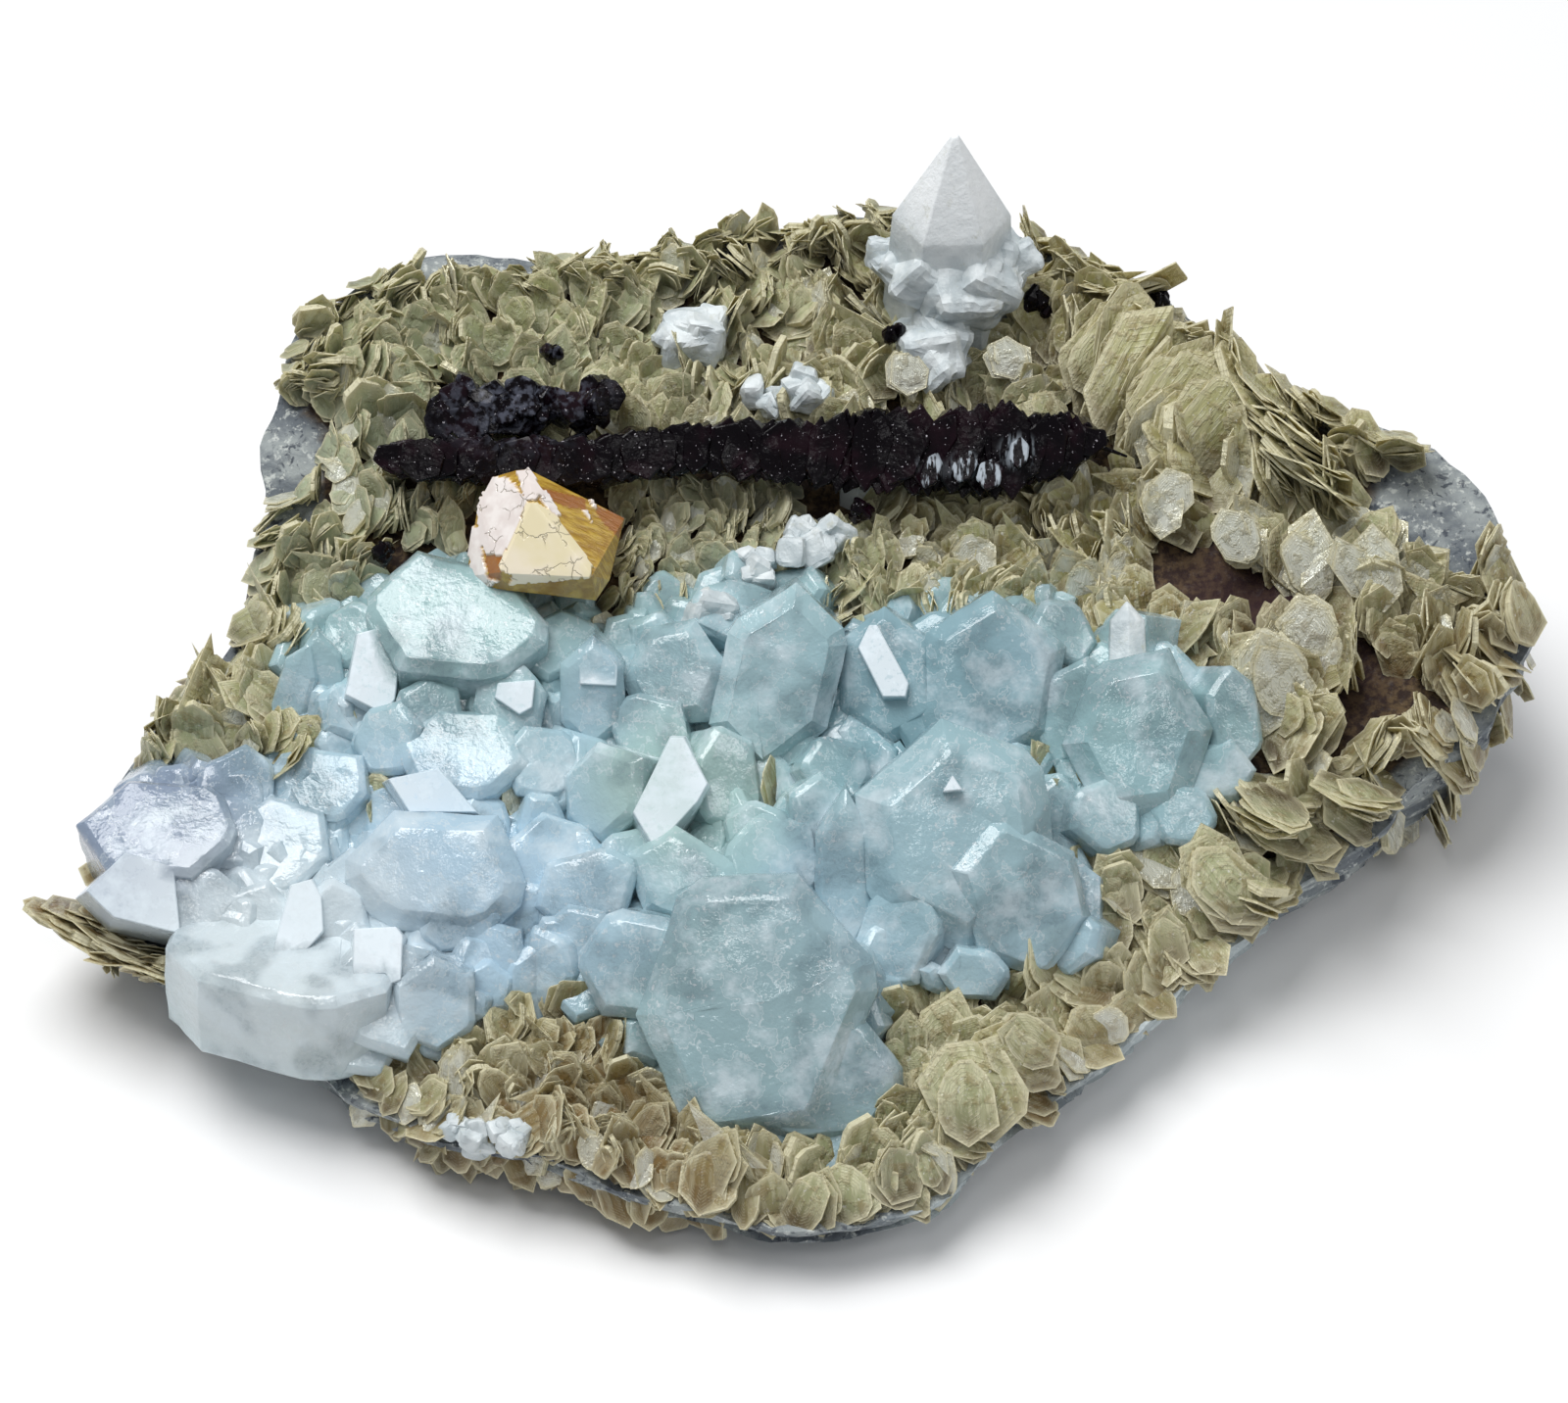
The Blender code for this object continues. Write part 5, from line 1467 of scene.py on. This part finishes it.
# %% Small black crystals
SMALL_BLACK = [(35.5, 66.5, 49, 3.2), (52.5, 66.5, 47.5, 2.4), (15, 56.5, 49.5, 2.2),
               (10.5, 32, 40.5, 2.2), (-53.5, 26.5, 38.5, 2.4), (-32, 57, 47, 2.4)]
chance = random.Random(31)
for number, (x, y, z, size) in enumerate(SMALL_BLACK, 1):
    cluster = []
    for _ in range(5):
        one = bmesh.new()
        bmesh.ops.create_uvsphere(one, u_segments=4, v_segments=2, radius=1)
        bmesh.ops.scale(one, vec=(0.62 * size, 0.62 * size, 0.9 * size), verts=one.verts)
        bmesh.ops.bevel(one, geom=list(one.edges), offset=0.12 * size, segments=1, profile=0.5,
                        affect="EDGES", material=-1, clamp_overlap=True)
        shift = Vector([chance.uniform(-0.4, 0.4) * size for _ in range(3)])
        place = Matrix.Translation(Vector((x, y, z - size)) + shift)
        place = place @ turned(chance.uniform(0, 360), chance.uniform(0, 50))
        bmesh.ops.transform(one, matrix=place, verts=one.verts)
        cluster.append(one)
    finish_piece(joined(cluster), "black_cluster_%d" % number, black,
                 ["black_crystal_%d" % number], crease=20)

# %% [markdown]
# ## Quartz and albite
# The white point is a crisp six-sided pyramid on a short prism, and milky blocks lie at its
# foot. Albite grows as clusters of small blunt crystals. The blocks and the point are joined in
# one skin and roughened, but the roughening passes over the point's faces, so it stays sharp.

# %% White crystals
def block(at, size, chance, long=1.0):
    """One blunt albite crystal, turned any way, by the middle of its upper end."""
    bm = bmesh.new()
    bmesh.ops.create_cube(bm, size=2)
    for vert in bm.verts:
        vert.co *= chance.uniform(0.85, 1.1)
    scale = [size * chance.uniform(0.65, 1.0) * extent for extent in (1, 0.85, long)]
    bmesh.ops.scale(bm, vec=scale, verts=bm.verts)
    bmesh.ops.bevel(bm, geom=list(bm.edges), offset=size * 0.30, segments=2, profile=0.5,
                    affect="EDGES", material=-1, clamp_overlap=True)
    turn = turned(chance.uniform(0, 360), chance.uniform(0, 70), chance.uniform(0, 90))
    place = Matrix.Translation(Vector(at) - Vector((0, 0, size * 0.6))) @ turn
    bmesh.ops.transform(bm, matrix=place, verts=bm.verts)
    bmesh.ops.triangulate(bm, faces=bm.faces)
    return bm


def cluster(at, radii, size, count, chance):
    """Blocks spread over an ellipse round a place."""
    for _ in range(count):
        angle = chance.uniform(0, 2 * math.pi)
        far = math.sqrt(chance.random())
        shift = Vector((math.cos(angle) * radii[0], math.sin(angle) * radii[1], 0)) * far
        shift.z = SLOPE * shift.y + size * chance.uniform(-0.4, 0.5) * (1 - far)
        yield block(Vector(at) + shift, size * chance.uniform(0.6, 1.1), chance)


def point(at, half_x, half_y, tip, shaft, lean=0, azimuth=-90, phase=0):
    """One sharp crystal, a six-sided pyramid on a prism, by its tip."""
    bm = bmesh.new()
    for low, high, depth, start in ((1.0, 0.07, tip, 0), (1.15, 1.0, shaft, tip)):
        made = bmesh.ops.create_cone(bm, cap_ends=True, segments=6, radius1=low, radius2=high,
                                     depth=depth)
        bmesh.ops.translate(bm, vec=(0, 0, -start - depth / 2), verts=made["verts"])
    bmesh.ops.remove_doubles(bm, verts=bm.verts, dist=0.001)
    inner = [face for face in bm.faces
             if len(face.verts) == 6 and abs(face.calc_center_median().z + tip) < 0.01]
    bmesh.ops.delete(bm, geom=inner, context="FACES_ONLY")
    turn = Matrix.Rotation(math.radians(phase), 3, "Z")
    bmesh.ops.rotate(bm, matrix=turn, verts=bm.verts)
    bmesh.ops.scale(bm, vec=(half_x, half_y, 1), verts=bm.verts)
    bmesh.ops.recalc_face_normals(bm, faces=bm.faces)
    bmesh.ops.bevel(bm, geom=list(bm.edges), offset=0.12, segments=1, profile=0.5,
                    affect="EDGES", material=-1, clamp_overlap=True)
    bmesh.ops.transform(bm, matrix=Matrix.Translation(at) @ turned(azimuth, lean),
                        verts=bm.verts)
    bmesh.ops.triangulate(bm, faces=bm.faces)
    for face in bm.faces:
        face.material_index = 1
    return bm


chance = random.Random(77)
WHITE = {
    "quartz_point": [
        point((23, 67.5, 74), 8.2, 7.2, 14, 20, phase=30),
        *cluster((24, 63.5, 55), (6, 3), 6.0, 7, chance),
        *cluster((32, 68, 55), (3, 2), 4.6, 5, chance),
        *cluster((15, 68, 53), (3, 2), 3.6, 4, chance),
        *cluster((21.5, 57, 47.5), (3, 3), 4.6, 6, chance)],
    "albite_back": [
        *cluster((-12, 62, 46.5), (3, 2), 4.4, 6, chance), *cluster((-16, 60, 45), (2, 2), 3, 3, chance)],
    "albite_behind_ridge": [
        *cluster((3, 52.5, 43), (4, 2), 3.0, 6, chance), *cluster((-3, 51.5, 42), (2, 2), 2.4, 4, chance)],
    "albite_middle": [
        *cluster((3, 27.5, 37), (5, 3), 2.4, 10, chance), *cluster((-4, 24, 36), (3, 3), 2.2, 6, chance),
        *cluster(seen_at(735, 617, 3.5), (3, 1.5), 3.2, 6, chance),
        point((10, 38, 46), 2.4, 2.0, 6, 8, lean=8), point((6, 28, 38.5), 1.5, 1.2, 3, 6, lean=50),
        point(seen_at(1150, 614, 5.5), 2.6, 2.2, 2.5, 9, lean=50, azimuth=90)],
    "albite_front": [
        *cluster((-35, -52, 12.0), (4, 2), 2.6, 6, chance),
        *cluster((-36, -53.5, 14.5), (5, 1.5), 1.6, 14, chance),
        *cluster((-41, -51, 13), (2, 2), 1.6, 5, chance)],
}
for name, crystals in WHITE.items():
    white = joined(crystals)
    split_up(white, 1.3, 4)
    roughen(white, 0.5, 4.0)
    roughen(white, 0.2, 1.5)
    for face in white.faces:
        face.material_index = 0
    finish_piece(white, name.replace("_", "_white_", 1), quartz, [name], crease=26)

# %% [markdown]
# ## Stage and light
# The photograph has a plain white ground and soft light from above, and the brightest faces
# mirror one light near the camera. So there is a pale floor, a pale sky for the ground light, a
# wide soft light overhead and a small strong one just above the camera.

# %% Floor
floor_mesh = bmesh.new()
bmesh.ops.create_grid(floor_mesh, x_segments=1, y_segments=1, size=3.0)
floor_data = bpy.data.meshes.new("floor")
floor_mesh.to_mesh(floor_data)
floor_mesh.free()
floor = bpy.data.objects.new("floor", floor_data)
bpy.context.scene.collection.objects.link(floor)
pale = Finish("pale_floor")
floor_data.materials.append(pale.shade(pale.shader(
    Base_Color=pale.mixed(pale.clouds(600, detail=1), (0.90, 0.90, 0.90), (0.93, 0.93, 0.93)),
    Roughness=0.9, Specular_IOR_Level=0.1)))


# %% Lights
def soft_light(name, place, target, size, power):
    """A square light that looks at a place; lengths in millimetres."""
    data = bpy.data.lights.new(name, "AREA")
    data.shape = "SQUARE"
    data.size = size * MM
    data.energy = power
    light = bpy.data.objects.new(name, data)
    spot = in_metres(place)
    aim = (spot - in_metres(target)).to_track_quat("Z", "Y").to_matrix().to_4x4()
    light.matrix_world = Matrix.Translation(spot) @ aim
    bpy.context.scene.collection.objects.link(light)


soft_light("overhead", (-250, 150, 900), TARGET, 620, 8.6)
soft_light("side", (700, -100, 500), TARGET, 300, 0.9)
soft_light("softbox", SOFTBOX + TOWARDS * 30, TARGET, 110, 0.15)
world = bpy.data.worlds.new("sky")
bpy.context.scene.world = world
world.use_nodes = True
world.node_tree.nodes["Background"].inputs["Color"].default_value = (0.93, 0.96, 1.0, 1)
world.node_tree.nodes["Background"].inputs["Strength"].default_value = 0.27
bpy.context.scene.view_settings.view_transform = "Standard"
bpy.context.scene.cycles.max_bounces = 8
print("lights", [obj.name for obj in bpy.data.objects if obj.type == "LIGHT"])
